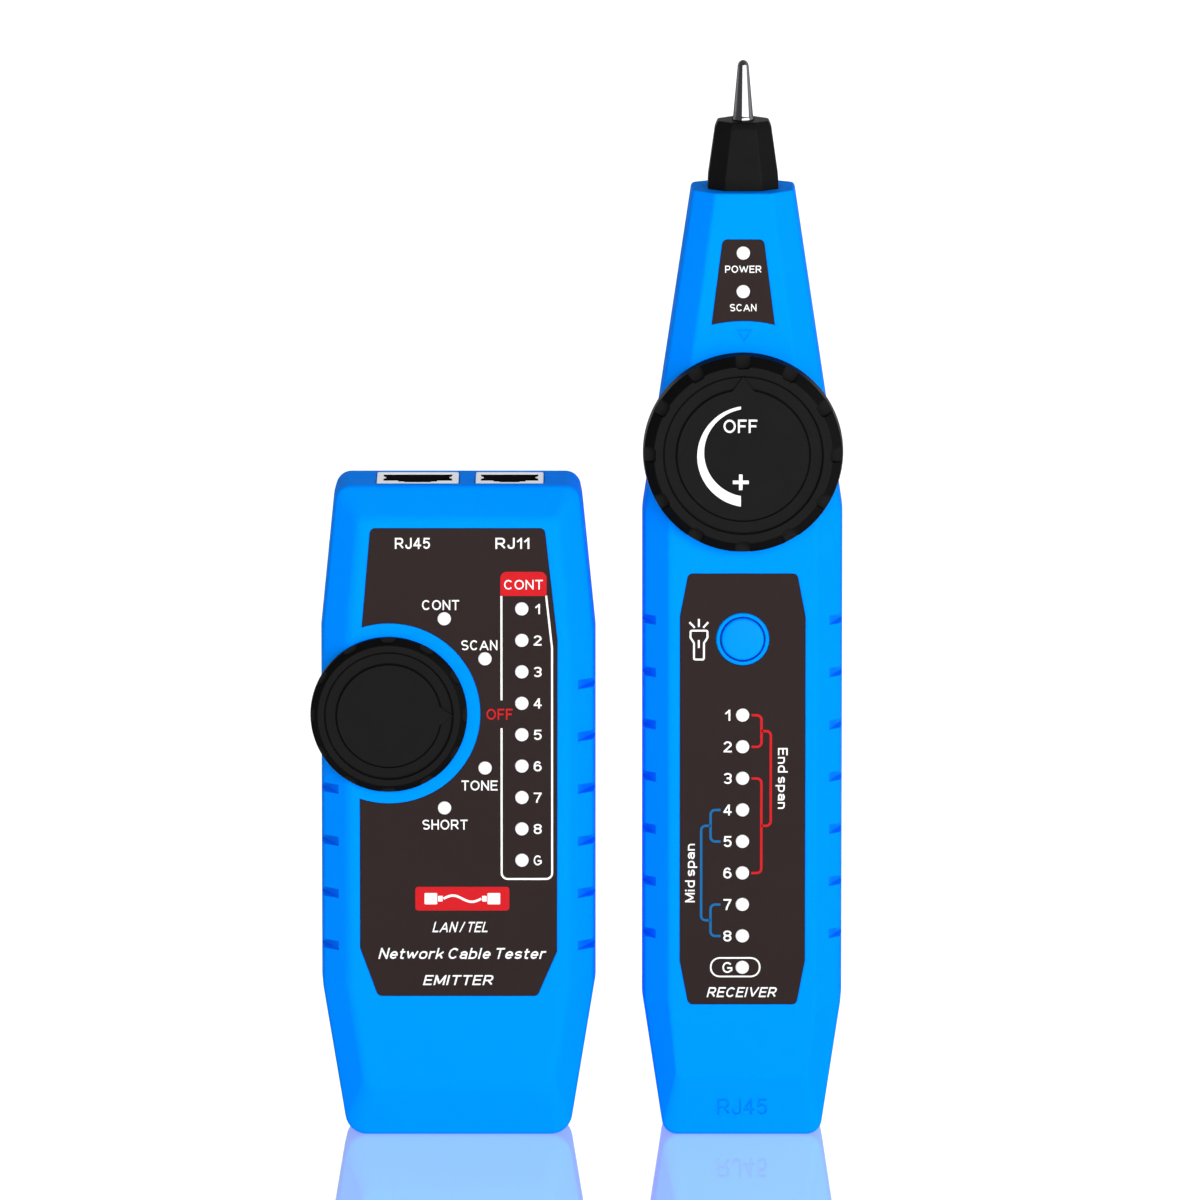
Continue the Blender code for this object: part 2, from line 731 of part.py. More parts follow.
def make_selector(base, body):
    centre = (SELECTOR_X, SELECTOR_Z)
    origin = (SELECTOR_X, 0, SELECTOR_Z)
    make_switch("selector_switch", "selector_shaft", centre, 13.6, base, body)
    inner, outer = SELECTOR_CHANNEL
    seat = SELECTOR_TOP - CAP_THICKNESS - GAP
    profile = [(0, 13.9), (BORE_RADIUS, 13.9), (BORE_RADIUS, HUB_BACK), (HUB_RADIUS, HUB_BACK),
               (HUB_RADIUS, KNOB_BACK), (SELECTOR_RADIUS, KNOB_BACK), (SELECTOR_RADIUS, 14.4),
               (SELECTOR_FACE_RADIUS, SELECTOR_TOP), (outer + GAP, SELECTOR_TOP), (outer + GAP, seat),
               (0, seat)]
    knob = new_piece("selector_knob", turned(centre, profile, KNOB_SIDES), "dark", body, origin)
    cut(knob, knob_notches(centre, SELECTOR_RADIUS - 0.9, 14.0, SELECTOR_TOP + 1))
    cap = knob_cap(centre, inner, outer, 1.7, 0.0, SELECTOR_TOP - CAP_THICKNESS, SELECTOR_TOP)
    new_piece("selector_knob_cap", cap, "dark", body, origin)


# Receiver


def receiver_lower_label_outline():
    corners = [(-9.4, 24.2), (9.4, 24.2), (10.9, 31.9), (10.9, 92.9), (9.45, 100.5), (-9.45, 100.5),
               (-10.9, 92.9), (-10.9, 31.9)]
    return closed_outline(corners, 0.9, 2)


def receiver_upper_label_outline():
    """Small tapered label; its lower edge follows the volume knob."""
    radius = 22.9
    swing = math.asin(5.44 / radius)
    steps = 6
    lower = [(radius * math.sin(swing * (2 * step / steps - 1)),
              VOLUME_Z + radius * math.cos(swing * (2 * step / steps - 1))) for step in range(steps + 1)]
    return [Vector(point) for point in [*lower, (3.5, 159.3), (2.9, 159.8), (-2.9, 159.8), (-3.5, 159.3)]]


def receiver_led_places():
    return [(0.0, z) for z in led_heights(RECEIVER_LED_TOP, RECEIVER_LED_PITCH)]


def receiver_back(height):
    return sloping(HALF_DEPTH, TOP_BACK)(height)


def make_receiver_shells(parent):
    screws = list(RECEIVER_SCREWS.values())
    statuses = [(0.0, POWER_LED_Z), (0.0, SCAN_LED_Z)]
    front = new_piece("receiver_front_shell", front_case(RECEIVER_SIDE, RECEIVER_FRONT), "blue", parent)
    join(front, screw_bosses(screws))
    cut(front, boss_bores(screws))
    recess = bmesh.new()
    for outline in (receiver_lower_label_outline(), receiver_upper_label_outline()):
        plate(grown(outline, GAP), HALF_DEPTH - LABEL_THICKNESS - GAP, HALF_DEPTH + 1, recess)
    cut(front, recess)
    holes = led_holes([*receiver_led_places(), *statuses])
    rod((0, VOLUME_Z), HUB_RADIUS + HUB_CLEARANCE, INNER_FRONT - 1, HALF_DEPTH + 1, 20, holes)
    rod((0, BUTTON_Z), BUTTON_HOLE, INNER_FRONT - 1, HALF_DEPTH + 1, 20, holes)
    upright((0, PROBE_Y), [(3.9, RECEIVER_TOP - 4), (3.9, RECEIVER_TOP + 2)], 16, holes)
    cut(front, holes)
    cut(front, grooves(17.5, RECEIVER_GROOVE_TOP, RECEIVER_GROOVES))
    cut(front, receiver_socket_mouth())
    half_gap = GAP / 2
    rear = new_piece("receiver_rear_shell", tray([
        ring(RECEIVER_REAR, sloping(HALF_DEPTH, TOP_BACK)),
        drafted(RECEIVER_SIDE, sloping(RECEIVER_REAR_SIDE, TOP_REAR_SIDE)),
        ring(RECEIVER_SIDE, half_gap),
        ring(RECEIVER_SIDE, half_gap, WALL),
        ring(RECEIVER_SIDE, sloping(RECEIVER_REAR_SIDE - 1, 0.6), WALL),
        ring(RECEIVER_REAR, sloping(INNER_FRONT, TOP_BACK - WALL), FRONT_INSET),
    ]), "blue", parent)
    join(rear, bay_box(RECEIVER_BAY))
    join(rear, pillars(screws, receiver_back))
    cut(rear, bay_hollow(RECEIVER_BAY))
    cut(rear, pillar_bores(screws, receiver_back))
    cut(rear, receiver_socket_mouth())
    channel = TORCH_RADIUS + GAP
    openings = upright((0, TORCH_Y), [(channel, 150.0), (channel, RECEIVER_TOP + 2)], 12)
    for step in range(-2, 3):
        z = SPEAKER_Z + 2.6 * step
        block((-5.5, INNER_FRONT - 1, z - 0.6), (5.5, HALF_DEPTH + 1, z + 0.6), openings)
    cut(rear, openings)


def receiver_socket_mouth():
    half = RJ45[1] / 2 + GAP
    return block((-half, -SOCKET_FRONT - GAP, -MOUTH_DEPTH), (half, SOCKET_BACK + GAP, MOUTH_DEPTH))


def make_receiver_board(parent):
    corners = [(-8.5, 9.5), (8.5, 9.5), (12.5, 20.0), (12.5, 109.0), (5.5, 160.0), (-5.5, 160.0),
               (-12.5, 109.0), (-12.5, 20.0)]
    outline = closed_outline(corners, 1.0, 2)
    board = new_piece("receiver_main_board", plate(outline, BOARD_BACK, BOARD_FRONT), "board", parent)
    holes = bmesh.new()
    for place in RECEIVER_SCREWS.values():
        rod(place, PILLAR_RADIUS + 0.4, BOARD_BACK - 1, BOARD_FRONT + 1, SMALL_SIDES, holes)
    rod((0, VOLUME_Z), SHAFT_RADIUS + 0.5, BOARD_BACK - 1, BOARD_FRONT + 1, 16, holes)
    rod((0, BUTTON_Z), PLUNGER_RADIUS + 0.4, BOARD_BACK - 1, BOARD_FRONT + 1, 16, holes)
    cut(board, holes)


def make_probe(parent):
    nose = bmesh.new()
    rings = []
    for half_x, half_y, facet_x, facet_y, z in (
        (6.15, 5.75, 2.8, 2.6, NOSE_BASE), (4.9, 4.72, 1.95, 1.85, NOSE_TOP - 0.9),
        (4.25, 4.1, 1.7, 1.6, NOSE_TOP),
    ):
        corners = [(half_x, -facet_y), (half_x, facet_y), (facet_x, half_y), (-facet_x, half_y),
                   (-half_x, facet_y), (-half_x, -facet_y), (-facet_x, -half_y), (facet_x, -half_y)]
        rings.append([(x, PROBE_Y + y, z) for x, y in corners])
    nose = new_piece("receiver_nose", add_prism(nose, rings), "dark", parent)
    join(nose, upright((0, PROBE_Y), [(3.6, 160.5), (3.6, NOSE_BASE + 1)]))
    cut(nose, upright((0, PROBE_Y), [(1.8, 159.0), (1.8, NOSE_TOP + 1)]))
    nut = new_piece("nose_nut", upright((0, PROBE_Y), [(5.2, 162.0), (5.2, 165.2)], 6), "steel", parent)
    cut(nut, upright((0, PROBE_Y), [(3.9, 161.0), (3.9, 166.0)]))
    sections = [(1.5, 156.0), (1.5, NOSE_TOP + 0.3), (TIP_BASE_RADIUS, NOSE_TOP + 0.3),
                (TIP_BASE_RADIUS, NOSE_TOP + 0.9), (TIP_END_RADIUS + 0.05, TIP_TOP - 2.0)]
    for step in range(1, 4):
        lift = math.radians(90 * step / 3.4)
        sections.append((TIP_END_RADIUS * math.cos(lift), TIP_TOP - TIP_END_RADIUS * (1 - math.sin(lift))))
    sections.append((0.12, TIP_TOP))
    new_piece("probe_tip", upright((0, PROBE_Y), sections), "steel", parent)
    strip = [(-7.4, 147.5), (-7.0, 147.5), (-7.0, 155.2), (-3.4, 155.2), (-3.4, 155.6), (-7.4, 155.6)]
    contact = add_prism(bmesh.new(), [[(x, y, z) for y, z in strip] for x in (-1.0, 1.0)])
    new_piece("probe_contact", contact, "gold", parent)


def make_torch(base, body):
    centre = (0.0, BUTTON_Z)
    origin = (0, 0, BUTTON_Z)
    flange_radius, flange_back, flange_front = BUTTON_FLANGE
    profile = [(0, flange_back), (flange_radius, flange_back), (flange_radius, flange_front),
               (BUTTON_RADIUS, flange_front), (BUTTON_RADIUS, BUTTON_FRONT - BUTTON_EDGE),
               (BUTTON_RADIUS - BUTTON_EDGE, BUTTON_FRONT), (0, BUTTON_FRONT)]
    new_piece("torch_button", turned(centre, profile, 24), "blue", body, origin)
    plunger = rod(centre, PLUNGER_RADIUS, PLUNGER_BACK, flange_back - GAP)
    new_piece("torch_switch_plunger", plunger, "white", body, origin)
    switch = block((-3, -7.4, BUTTON_Z - 3), (3, -3.9, BUTTON_Z + 3))
    cut(new_piece("torch_switch", switch, "dark", base), rod(centre, PLUNGER_RADIUS + GAP, 5.0, 8.4))
    sections = [(TORCH_RADIUS, 151.0), (TORCH_RADIUS, 157.0), (TORCH_RADIUS * 0.8, 158.0), (0.5, 158.6)]
    new_piece("torch_led", upright((0, TORCH_Y), sections), "clear", base)


def make_receiver(base, volume, torch, door):
    make_receiver_shells(base)
    film = plate(receiver_lower_label_outline(), HALF_DEPTH - LABEL_THICKNESS, HALF_DEPTH)
    lower = new_piece("receiver_lower_label", film, "label", base)
    holes = led_holes(receiver_led_places())
    cut(lower, rod((0, BUTTON_Z), BUTTON_RING, INNER_FRONT, HALF_DEPTH + 1, 24, holes))
    film = plate(receiver_upper_label_outline(), HALF_DEPTH - LABEL_THICKNESS, HALF_DEPTH)
    upper = new_piece("receiver_upper_label", film, "label", base)
    cut(upper, led_holes([(0, POWER_LED_Z), (0, SCAN_LED_Z)]))
    make_receiver_board(base)
    make_light_guide("receiver_light_guide", 0.0, RECEIVER_LED_TOP, RECEIVER_LED_PITCH, base)
    for status, z in (("power", POWER_LED_Z), ("scan", SCAN_LED_Z)):
        led = rod((0, z), LED_RADIUS, LED_BACK, LED_FRONT, SMALL_SIDES)
        new_piece(f"status_led_{status}", led, "clear", base)
    make_socket("receiver_rj45_socket", (0.0, *RJ45[1:]), 8, RECEIVER_MOUTH, 1, base)
    make_battery("receiver", RECEIVER_BAY, base)
    make_screws("receiver", RECEIVER_SCREWS, receiver_back, base)
    make_probe(base)
    cone = [(0, -9.6), (SPEAKER_RADIUS, -9.6), (SPEAKER_RADIUS, -8.2), (6.0, -6.6), (6.0, -5.4), (0, -5.4)]
    new_piece("loudspeaker", turned((0, SPEAKER_Z), cone, 20), "steel", base)
    make_door("receiver", RECEIVER_BAY, door)
    make_torch(base, torch)
    make_volume(base, volume)


def make_volume(base, body):
    centre = (0.0, VOLUME_Z)
    origin = (0, 0, VOLUME_Z)
    make_switch("volume_potentiometer", "volume_shaft", centre, 15.7, base, body)
    inner, outer = VOLUME_CHANNEL
    seat = VOLUME_TOP - CAP_THICKNESS - GAP
    profile = [(0, 16.0), (BORE_RADIUS, 16.0), (BORE_RADIUS, HUB_BACK), (HUB_RADIUS, HUB_BACK),
               (HUB_RADIUS, KNOB_BACK), (VOLUME_RADIUS, KNOB_BACK), (VOLUME_RADIUS - 0.2, 16.9),
               (VOLUME_FACE_RADIUS, VOLUME_TOP), (outer + GAP, VOLUME_TOP), (outer + GAP, seat), (0, seat)]
    knob = new_piece("volume_knob", turned(centre, profile, KNOB_SIDES), "dark", body, origin)
    cut(knob, knob_notches(centre, 15.9, 14.0, VOLUME_TOP + 1))
    cap = knob_cap(centre, inner, outer, 1.95, math.pi / 2, VOLUME_TOP - CAP_THICKNESS, VOLUME_TOP)
    new_piece("volume_knob_cap", cap, "dark", body, origin)


def make_unit_frame(name, x):
    empty = bpy.data.objects.new(name, None)
    bpy.context.scene.collection.objects.link(empty)
    empty.location = (x * MM, KIT_Y * MM, 0)
    return empty


def main():
    clear_scene()
    emitter = make_unit_frame("emitter_frame", EMITTER_X)
    receiver = make_unit_frame("receiver_frame", RECEIVER_X)
    make_emitter(emitter, emitter, emitter)
    make_receiver(receiver, receiver, receiver, receiver)


main()
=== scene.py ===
"""The looks of a network cable tester kit: an emitter on the left, a receiver with a probe on the right.

Lengths are millimetres in each unit's own frame: x to the right, y to the back with the parting plane at
y = 0, z up from the base. Depths in front of the parting plane are written as positive numbers.
"""

import math

import bmesh
import bpy
from mathutils import Matrix, Vector
from mathutils.geometry import delaunay_2d_cdt
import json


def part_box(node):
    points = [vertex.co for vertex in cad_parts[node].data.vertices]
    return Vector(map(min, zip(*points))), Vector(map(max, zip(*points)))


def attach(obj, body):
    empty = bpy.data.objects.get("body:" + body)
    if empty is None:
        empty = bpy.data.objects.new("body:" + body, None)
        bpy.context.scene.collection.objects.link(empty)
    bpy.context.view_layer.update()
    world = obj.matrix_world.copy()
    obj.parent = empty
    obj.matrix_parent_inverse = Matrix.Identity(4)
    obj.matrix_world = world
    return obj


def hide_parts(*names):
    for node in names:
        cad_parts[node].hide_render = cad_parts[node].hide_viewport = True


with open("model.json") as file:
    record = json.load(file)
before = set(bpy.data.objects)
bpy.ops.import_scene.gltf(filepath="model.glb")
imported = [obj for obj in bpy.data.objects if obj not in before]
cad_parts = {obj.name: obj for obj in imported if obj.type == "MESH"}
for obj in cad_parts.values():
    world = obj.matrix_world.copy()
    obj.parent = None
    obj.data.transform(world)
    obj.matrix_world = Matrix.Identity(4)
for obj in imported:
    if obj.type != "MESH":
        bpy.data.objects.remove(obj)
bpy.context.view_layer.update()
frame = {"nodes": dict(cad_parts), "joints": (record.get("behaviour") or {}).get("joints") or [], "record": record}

MM = 0.001
CAD_GAP = 0.3
BODY_OF = {node: body for body, nodes in frame["record"]["behaviour"]["bodies"].items() for node in nodes}
JOINTS = {joint["name"]: joint for joint in frame["joints"]}

# Both cases
HALF_DEPTH = 13.0
WALL = 1.8
SEAM = 0.07
CHAMFER_DEPTH = 4.3
DRAFT = 0.3
INNER_CHAMFER = 7.6
INNER_FRONT = HALF_DEPTH - WALL
FRONT_INSET = 0.7
EMITTER_FACE_EDGE = 1.2
RECEIVER_FACE_EDGE = 0.6
SIDE_EDGE = 0.8
SEAM_EDGE = 0.25
TONGUE = 0.7
TONGUE_INSET = 0.95
TONGUE_GAP = 0.1
LABEL_THICKNESS = 0.4
LABEL_GAP = 0.1
LABEL_CORNER = 0.9

# Outlines: half width, height, corner radius, corner steps
EMITTER_TOP = 115.4
EMITTER_SIDE = [(19.57, 0.0, 4.1, 8), (24.0, 26.9, 8.0, 6), (24.0, 89.5, 8.0, 6),
                (21.41, EMITTER_TOP, 3.0, 8)]
EMITTER_FRONT = [(16.3, 9.35, 2.4, 8), (19.1, 28.5, 6.0, 6), (19.1, 88.5, 6.0, 6), (17.3, 110.1, 1.2, 8)]
EMITTER_REAR = [(16.8, 7.0, 2.4, 8), (20.0, 28.2, 6.0, 6), (20.0, 88.6, 6.0, 6), (18.0, 110.5, 1.2, 8)]
EMITTER_REAR_SIDE = 7.5
RECEIVER_TOP = 167.4
SLOPE_START = 104.0
RECEIVER_SIDE = [
    (13.87, 0.0, 3.0, 8), (17.5, 24.0, 8.0, 6), (17.5, SLOPE_START, 0.0, 0), (17.5, 110.5, 14.0, 8),
    (9.0, RECEIVER_TOP, 0.6, 4),
]
RECEIVER_FRONT = [
    (11.5, 11.2, 1.2, 8), (12.8, 25.5, 6.0, 6), (12.8, SLOPE_START, 0.0, 0), (12.8, 110.0, 14.0, 8),
    (4.85, RECEIVER_TOP, 0.4, 4),
]
RECEIVER_REAR = [
    (12.5, 5.0, 1.5, 8), (15.0, 24.5, 6.0, 6), (15.0, SLOPE_START, 0.0, 0), (15.0, 110.3, 14.0, 8),
    (4.85, RECEIVER_TOP, 0.4, 4),
]
RECEIVER_REAR_SIDE = 10.0
TOP_BACK = 3.7
TOP_REAR_SIDE = 1.0

# Grip grooves
GROOVE_PITCH = 9.27
GROOVE_HEIGHT = 1.6
EMITTER_GROOVE_TOP = 80.6
EMITTER_GROOVES = 6
RECEIVER_GROOVE_TOP = 91.9
RECEIVER_GROOVES = 7

# Knobs
LABEL_CUT_RADIUS = 16.0
KNOB_BACK = 13.3
HUB_RADIUS = 5.0
HUB_BACK = 10.0
BORE_RADIUS = 3.0
NOTCHES = 12
NOTCH_WIDTH = 2.7
CHANNEL_DEPTH = 0.45
LINE_WIDTH = 0.27

# LEDs
LED_COUNT = 9
LENS_RADIUS = 1.17
LENS_HOLE = 1.22
LENS_BASE = 12.9
LENS_TOP = 13.12

# Torch button
BUTTON_RADIUS = 3.7
BUTTON_HOLE = 4.0
BUTTON_RING = 4.7

# How deep and how high the cuts run: through the front face, through a label, and over the sockets' bodies
FACE_CUT = (10.0, 14.0)
LABEL_CUT = (12.0, 14.0)
EMITTER_MOUTH = (EMITTER_TOP - 4, EMITTER_TOP + 2)
RECEIVER_MOUTH = (-2, 4)

# Sockets
CAVITY_BACK = 3.5
CAVITY_FRONT = 3.7
LATCH_FRONT = 5.3
LATCH_STEP = 1.05
FRAME_DEPTH = 0.15
CAVITY_DEPTH = 12.5
CONTACT_PITCH = 1.02

# Print, with letters in units of the capital height
INK_SINK = 0.03
INK_RISE = 0.02
BOLD = 0.15
REGULAR = 0.13
LETTER_GAP = 0.17
WORD_GAP = 0.42
SLANT = 0.26
LAMP_MARKS = "12345678G"
PLATE_BOX = (-7.48, 40.84, 8.92, 45.05)
ON_PLATE = 2 * INK_RISE


class Unit:
    """One hand unit, with the place where its own millimetre frame stands."""

    def __init__(self, front_shell):
        low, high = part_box(front_shell)
        self.origin = Vector(((low.x + high.x) / 2, high.y + CAD_GAP / 2 * MM, 0.0))

    def box(self, node):
        low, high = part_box(node)
        return (low - self.origin) / MM, (high - self.origin) / MM

    def middle(self, node):
        low, high = self.box(node)
        return (low.x + high.x) / 2, (low.z + high.z) / 2

    def place(self, point):
        return (Vector(point) - self.origin) / MM


EMITTER = Unit("emitter_front_shell")
RECEIVER = Unit("receiver_front_shell")
SELECTOR = EMITTER.place(JOINTS["selector_turn"]["pos_m"])
VOLUME = RECEIVER.place(JOINTS["volume_turn"]["pos_m"])


# Outlines


def edge_normal(start, end):
    along = (end - start).normalized()
    return Vector((-along.y, along.x))


def rounded_corner(before, corner, after, radius, steps):
    """Points along the arc that rounds one corner of an outline."""
    back = (before - corner).normalized()
    ahead = (after - corner).normalized()
    half = back.angle(ahead) / 2
    if not steps or half > math.pi / 2 - 0.001:
        return [corner] * (steps + 1)
    centre = corner + (back + ahead).normalized() * radius / math.sin(half)
    reach = radius / math.tan(half)
    start = corner + back * reach - centre
    end = corner + ahead * reach - centre
    swing = start.angle(end)
    return [
        centre + (start * math.sin(swing * (1 - t)) + end * math.sin(swing * t)) / math.sin(swing)
        for t in (step / steps for step in range(steps + 1))
    ]


def half_outline(corners, inset=0.0):
    """Right-hand half of a symmetric outline, from its base to its top, moved inwards by an inset."""
    points = [Vector((x, z)) for x, z, _, _ in corners]
    ring = [Vector((-points[0].x, points[0].y)), *points, Vector((-points[-1].x, points[-1].y))]
    moved = []
    for before, here, after in zip(ring, ring[1:], ring[2:]):
        first = edge_normal(before, here)
        second = edge_normal(here, after)
        moved.append(here + (first + second) * inset / (1 + first.dot(second)))
    ring = [Vector((-moved[0].x, moved[0].y)), *moved, Vector((-moved[-1].x, moved[-1].y))]
    line = []
    for (_, _, radius, steps), before, here, after in zip(corners, ring, ring[1:], ring[2:]):
        line += rounded_corner(before, here, after, max(radius - inset, 0.3), steps)
    return line


def closed_outline(points, radius=0.0, steps=0):
    """A closed outline with every corner rounded alike."""
    vectors = [Vector(point) for point in points]
    line = []
    for index, corner in enumerate(vectors):
        after = vectors[(index + 1) % len(vectors)]
        line += rounded_corner(vectors[index - 1], corner, after, radius, steps)
    return line


def rectangle(left, low, right, high, radius=0.0, steps=0):
    return closed_outline([(left, low), (right, low), (right, high), (left, high)], radius, steps)


def grown(points, amount):
    """A closed anticlockwise outline, moved outwards."""
    moved = []
    for index, here in enumerate(points):
        first = edge_normal(points[index - 1], here)
        second = edge_normal(here, points[(index + 1) % len(points)])
        moved.append(here - (first + second) * amount / (1 + first.dot(second)))
    return moved


def circle(centre, radius, sides):
    x, z = centre
    turns = [2 * math.pi * (side + 0.5) / sides for side in range(sides)]
    return [Vector((x + radius * math.cos(a), z + radius * math.sin(a))) for a in turns]


def arc(centre, radius, start, end, steps):
    x, z = centre
    turns = [start + (end - start) * step / steps for step in range(steps + 1)]
    return [Vector((x + radius * math.cos(a), z + radius * math.sin(a))) for a in turns]


# Solids, added to a bmesh so that several can share one


def skin(mesh, loops, looped=False):
    """Joins matching loops of vertices with four-sided faces."""
    pairs = list(zip(loops, loops[1:]))
    if looped:
        pairs.append((loops[-1], loops[0]))
    for first, second in pairs:
        for index in range(len(first)):
            following = (index + 1) % len(first)
            mesh.faces.new((first[index], first[following], second[following], second[index]))


def add_prism(mesh, rings, looped=False):
    """Skins a list of matching rings of 3-D points, and caps both ends or joins them in a loop."""
    loops = [[mesh.verts.new(point) for point in ring] for ring in rings]
    skin(mesh, loops, looped)
    if not looped:
        mesh.faces.new(loops[0])
        mesh.faces.new(loops[-1])
    return mesh


def stack(levels, mesh=None):
    """Skins flat outlines in x and z, each at its own depth: levels are (outline, depth)."""
    return add_prism(mesh or bmesh.new(), [[(x, -depth, z) for x, z in outline] for outline, depth in levels])


def plate(points, back, front, mesh=None):
    return stack([(points, back), (points, front)], mesh)


def soft_plate(points, back, front, edge, mesh=None):
    """A plate whose front edge is rounded off by a small arc."""
    steps = 4
    levels = [(points, back)]
    for step in range(steps + 1):
        turn = math.pi / 2 * step / steps
        inset = edge * (1 - math.cos(turn))
        levels.append((grown(points, -inset), front - edge * (1 - math.sin(turn))))
    return stack(levels, mesh)


def block(low, high, mesh=None):
    return plate(rectangle(low[0], low[2], high[0], high[2]), -high[1], -low[1], mesh)


def rod(centre, radius, back, front, sides=32, mesh=None):
    return plate(circle(centre, radius, sides), back, front, mesh)


def upright(centre, sections, sides=32, mesh=None):
    """A round bar that stands upright: sections are (radius, height)."""
    rings = [[(x, y, z) for x, y in circle(centre, radius, sides)] for radius, z in sections]
    return add_prism(mesh or bmesh.new(), rings)


def plan_rings(outline, levels):
    """Rings of an upright body: its plan, grown by a spread at each height."""
    return [[(x, y, z) for x, y in grown(outline, spread)] for spread, z in levels]


def turned(centre, profile, sides, mesh=None):
    """A body turned about a front-to-back axis. Its profile is (radius, depth), from axis to axis."""
    mesh = mesh or bmesh.new()
    x, z = centre
    tips = [mesh.verts.new((x, -depth, z)) for _, depth in (profile[0], profile[-1])]
    loops = [[mesh.verts.new((px, -depth, pz)) for px, pz in circle(centre, radius, sides)]
             for radius, depth in profile[1:-1]]
    skin(mesh, loops)
    for tip, loop in zip(tips, (loops[0], loops[-1])):
        for index in range(sides):
            mesh.faces.new((tip, loop[index], loop[(index + 1) % sides]))
    return mesh


def rounded_path(points, radii, closed=False, steps=5):
    """A path whose corners are rounded, each by its own radius."""
    vectors = [Vector(point) for point in points]
    count = len(vectors)
    line = []
    for index, (here, radius) in enumerate(zip(vectors, radii)):
        if radius and (closed or 0 < index < count - 1):
            line += rounded_corner(vectors[index - 1], here, vectors[(index + 1) % count], radius, steps)
        else:
            line.append(here)
    return line


def rounded_profile(points, radii):
    """A turned body's profile, with a radius for each corner between its two ends."""
    return rounded_path(points, [0, *radii, 0], steps=4)


def tray(rings):
    """A case half: rings from the outer face round the rim to the inner face, capped in ladder steps."""
    mesh = bmesh.new()
    loops = []
    for ring in rings:
        right = [mesh.verts.new((x, y, z)) for x, y, z in ring]
        left = [mesh.verts.new((-x, y, z)) for x, y, z in reversed(ring)]
        loops.append(right + left)
    skin(mesh, loops)
    for loop in (loops[0], loops[-1]):
        count = len(loop)
        for index in range(count // 2 - 1):
            mesh.faces.new((loop[index], loop[index + 1], loop[count - 2 - index], loop[count - 1 - index]))
    return mesh


def ring(corners, level, inset=0.0):
    """One ring of a case half. The level is a y, or a rule that gives y from the height."""
    rule = level if callable(level) else lambda height: level
    return [Vector((x, rule(z), z)) for x, z in half_outline(corners, inset)]


def drafted(corners, level):
    """A ring that the mould's draft draws in at its sides only, so that the base and the top stay flat."""
    rule = level if callable(level) else lambda height: level
    height = corners[-1][1]
    spread = height / (height - 2 * DRAFT)
    line = [(x, (z - DRAFT) * spread) for x, z in half_outline(corners, DRAFT)]
    return [Vector((x, rule(z), z)) for x, z in line]


def soften(rings, radii, steps=5):
    """Swaps a ring for a short curve of rings, so that the edge that runs round it is rounded."""
    made = []
    for index, (here, radius) in enumerate(zip(rings, radii)):
        if not radius:
            made.append(here)
            continue
        for step in range(steps + 1):
            t = step / steps
            curve = []
            for before, corner, after in zip(rings[index - 1], here, rings[index + 1]):
                start = corner + (before - corner).normalized() * min(radius, (before - corner).length * 0.45)
                end = corner + (after - corner).normalized() * min(radius, (after - corner).length * 0.45)
                curve.append(start * (1 - t) ** 2 + corner * 2 * t * (1 - t) + end * t * t)
            made.append(curve)
    return made


def sloping(low, high):
    """A rule for the receiver's back: y keeps its low value up to the slope, then runs to its high value."""
    def rule(height):
        share = max(0.0, (height - SLOPE_START) / (RECEIVER_TOP - SLOPE_START))
        return low + (high - low) * share
    return rule


def flat_back(height):
    return HALF_DEPTH


receiver_back = sloping(HALF_DEPTH, TOP_BACK)


# Pieces


def make_object(name, mesh, origin):
    bmesh.ops.recalc_face_normals(mesh, faces=mesh.faces)
    bmesh.ops.transform(mesh, matrix=Matrix.Scale(MM, 4), verts=mesh.verts)
    data = bpy.data.meshes.new(name)
    mesh.to_mesh(data)
    mesh.free()
    item = bpy.data.objects.new(name, data)
    bpy.context.scene.collection.objects.link(item)
    item.location = origin
    return item


def change(piece, mesh, operation):
    guide = make_object(f"{piece.name}_guide_{len(piece.modifiers)}", mesh, piece.location)
    modifier = piece.modifiers.new(operation.title(), "BOOLEAN")
    modifier.operation = operation
    modifier.solver = "EXACT"
    modifier.object = guide
    return piece


def cut(piece, mesh):
    return change(piece, mesh, "DIFFERENCE")


def join(piece, mesh):
    return change(piece, mesh, "UNION")


def bake(piece):
    """Applies a piece's cuts and joins, and removes the shapes that they used."""
    bpy.context.view_layer.update()
    graph = bpy.context.evaluated_depsgraph_get()
    data = bpy.data.meshes.new_from_object(piece.evaluated_get(graph))
    guides = [modifier.object for modifier in piece.modifiers if modifier.type == "BOOLEAN"]
    piece.modifiers.clear()
    piece.data = data
    for guide in guides:
        bpy.data.objects.remove(guide)


def settle(piece, look, *nodes, body=None, sharp=32):
    """Bakes and smooths a piece, gives it its look, and ties it to its body and its CAD nodes."""
    if piece.modifiers:
        bake(piece)
    piece.data.shade_smooth()
    piece.data.set_sharp_from_angle(angle=math.radians(sharp))
    piece.data.materials.clear()
    piece.data.materials.append(look)
    weighted = piece.modifiers.new("Weighted", "WEIGHTED_NORMAL")
    weighted.keep_sharp = True
    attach(piece, body or BODY_OF[nodes[0]])
    if nodes:
        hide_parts(*nodes)
    return piece


# Materials


def srgb(red, green, blue):
    """Turns 0-255 display values into the linear colour that Blender's shaders use."""
    levels = [value / 255 for value in (red, green, blue)]
    linear = [v / 12.92 if v <= 0.04045 else ((v + 0.055) / 1.055) ** 2.4 for v in levels]
    return (*linear, 1.0)


def fill(node, values):
    """Sets a shader node's own input values, by the names of the inputs."""
    for name, value in values.items():
        node.inputs[name].default_value = value
    return node


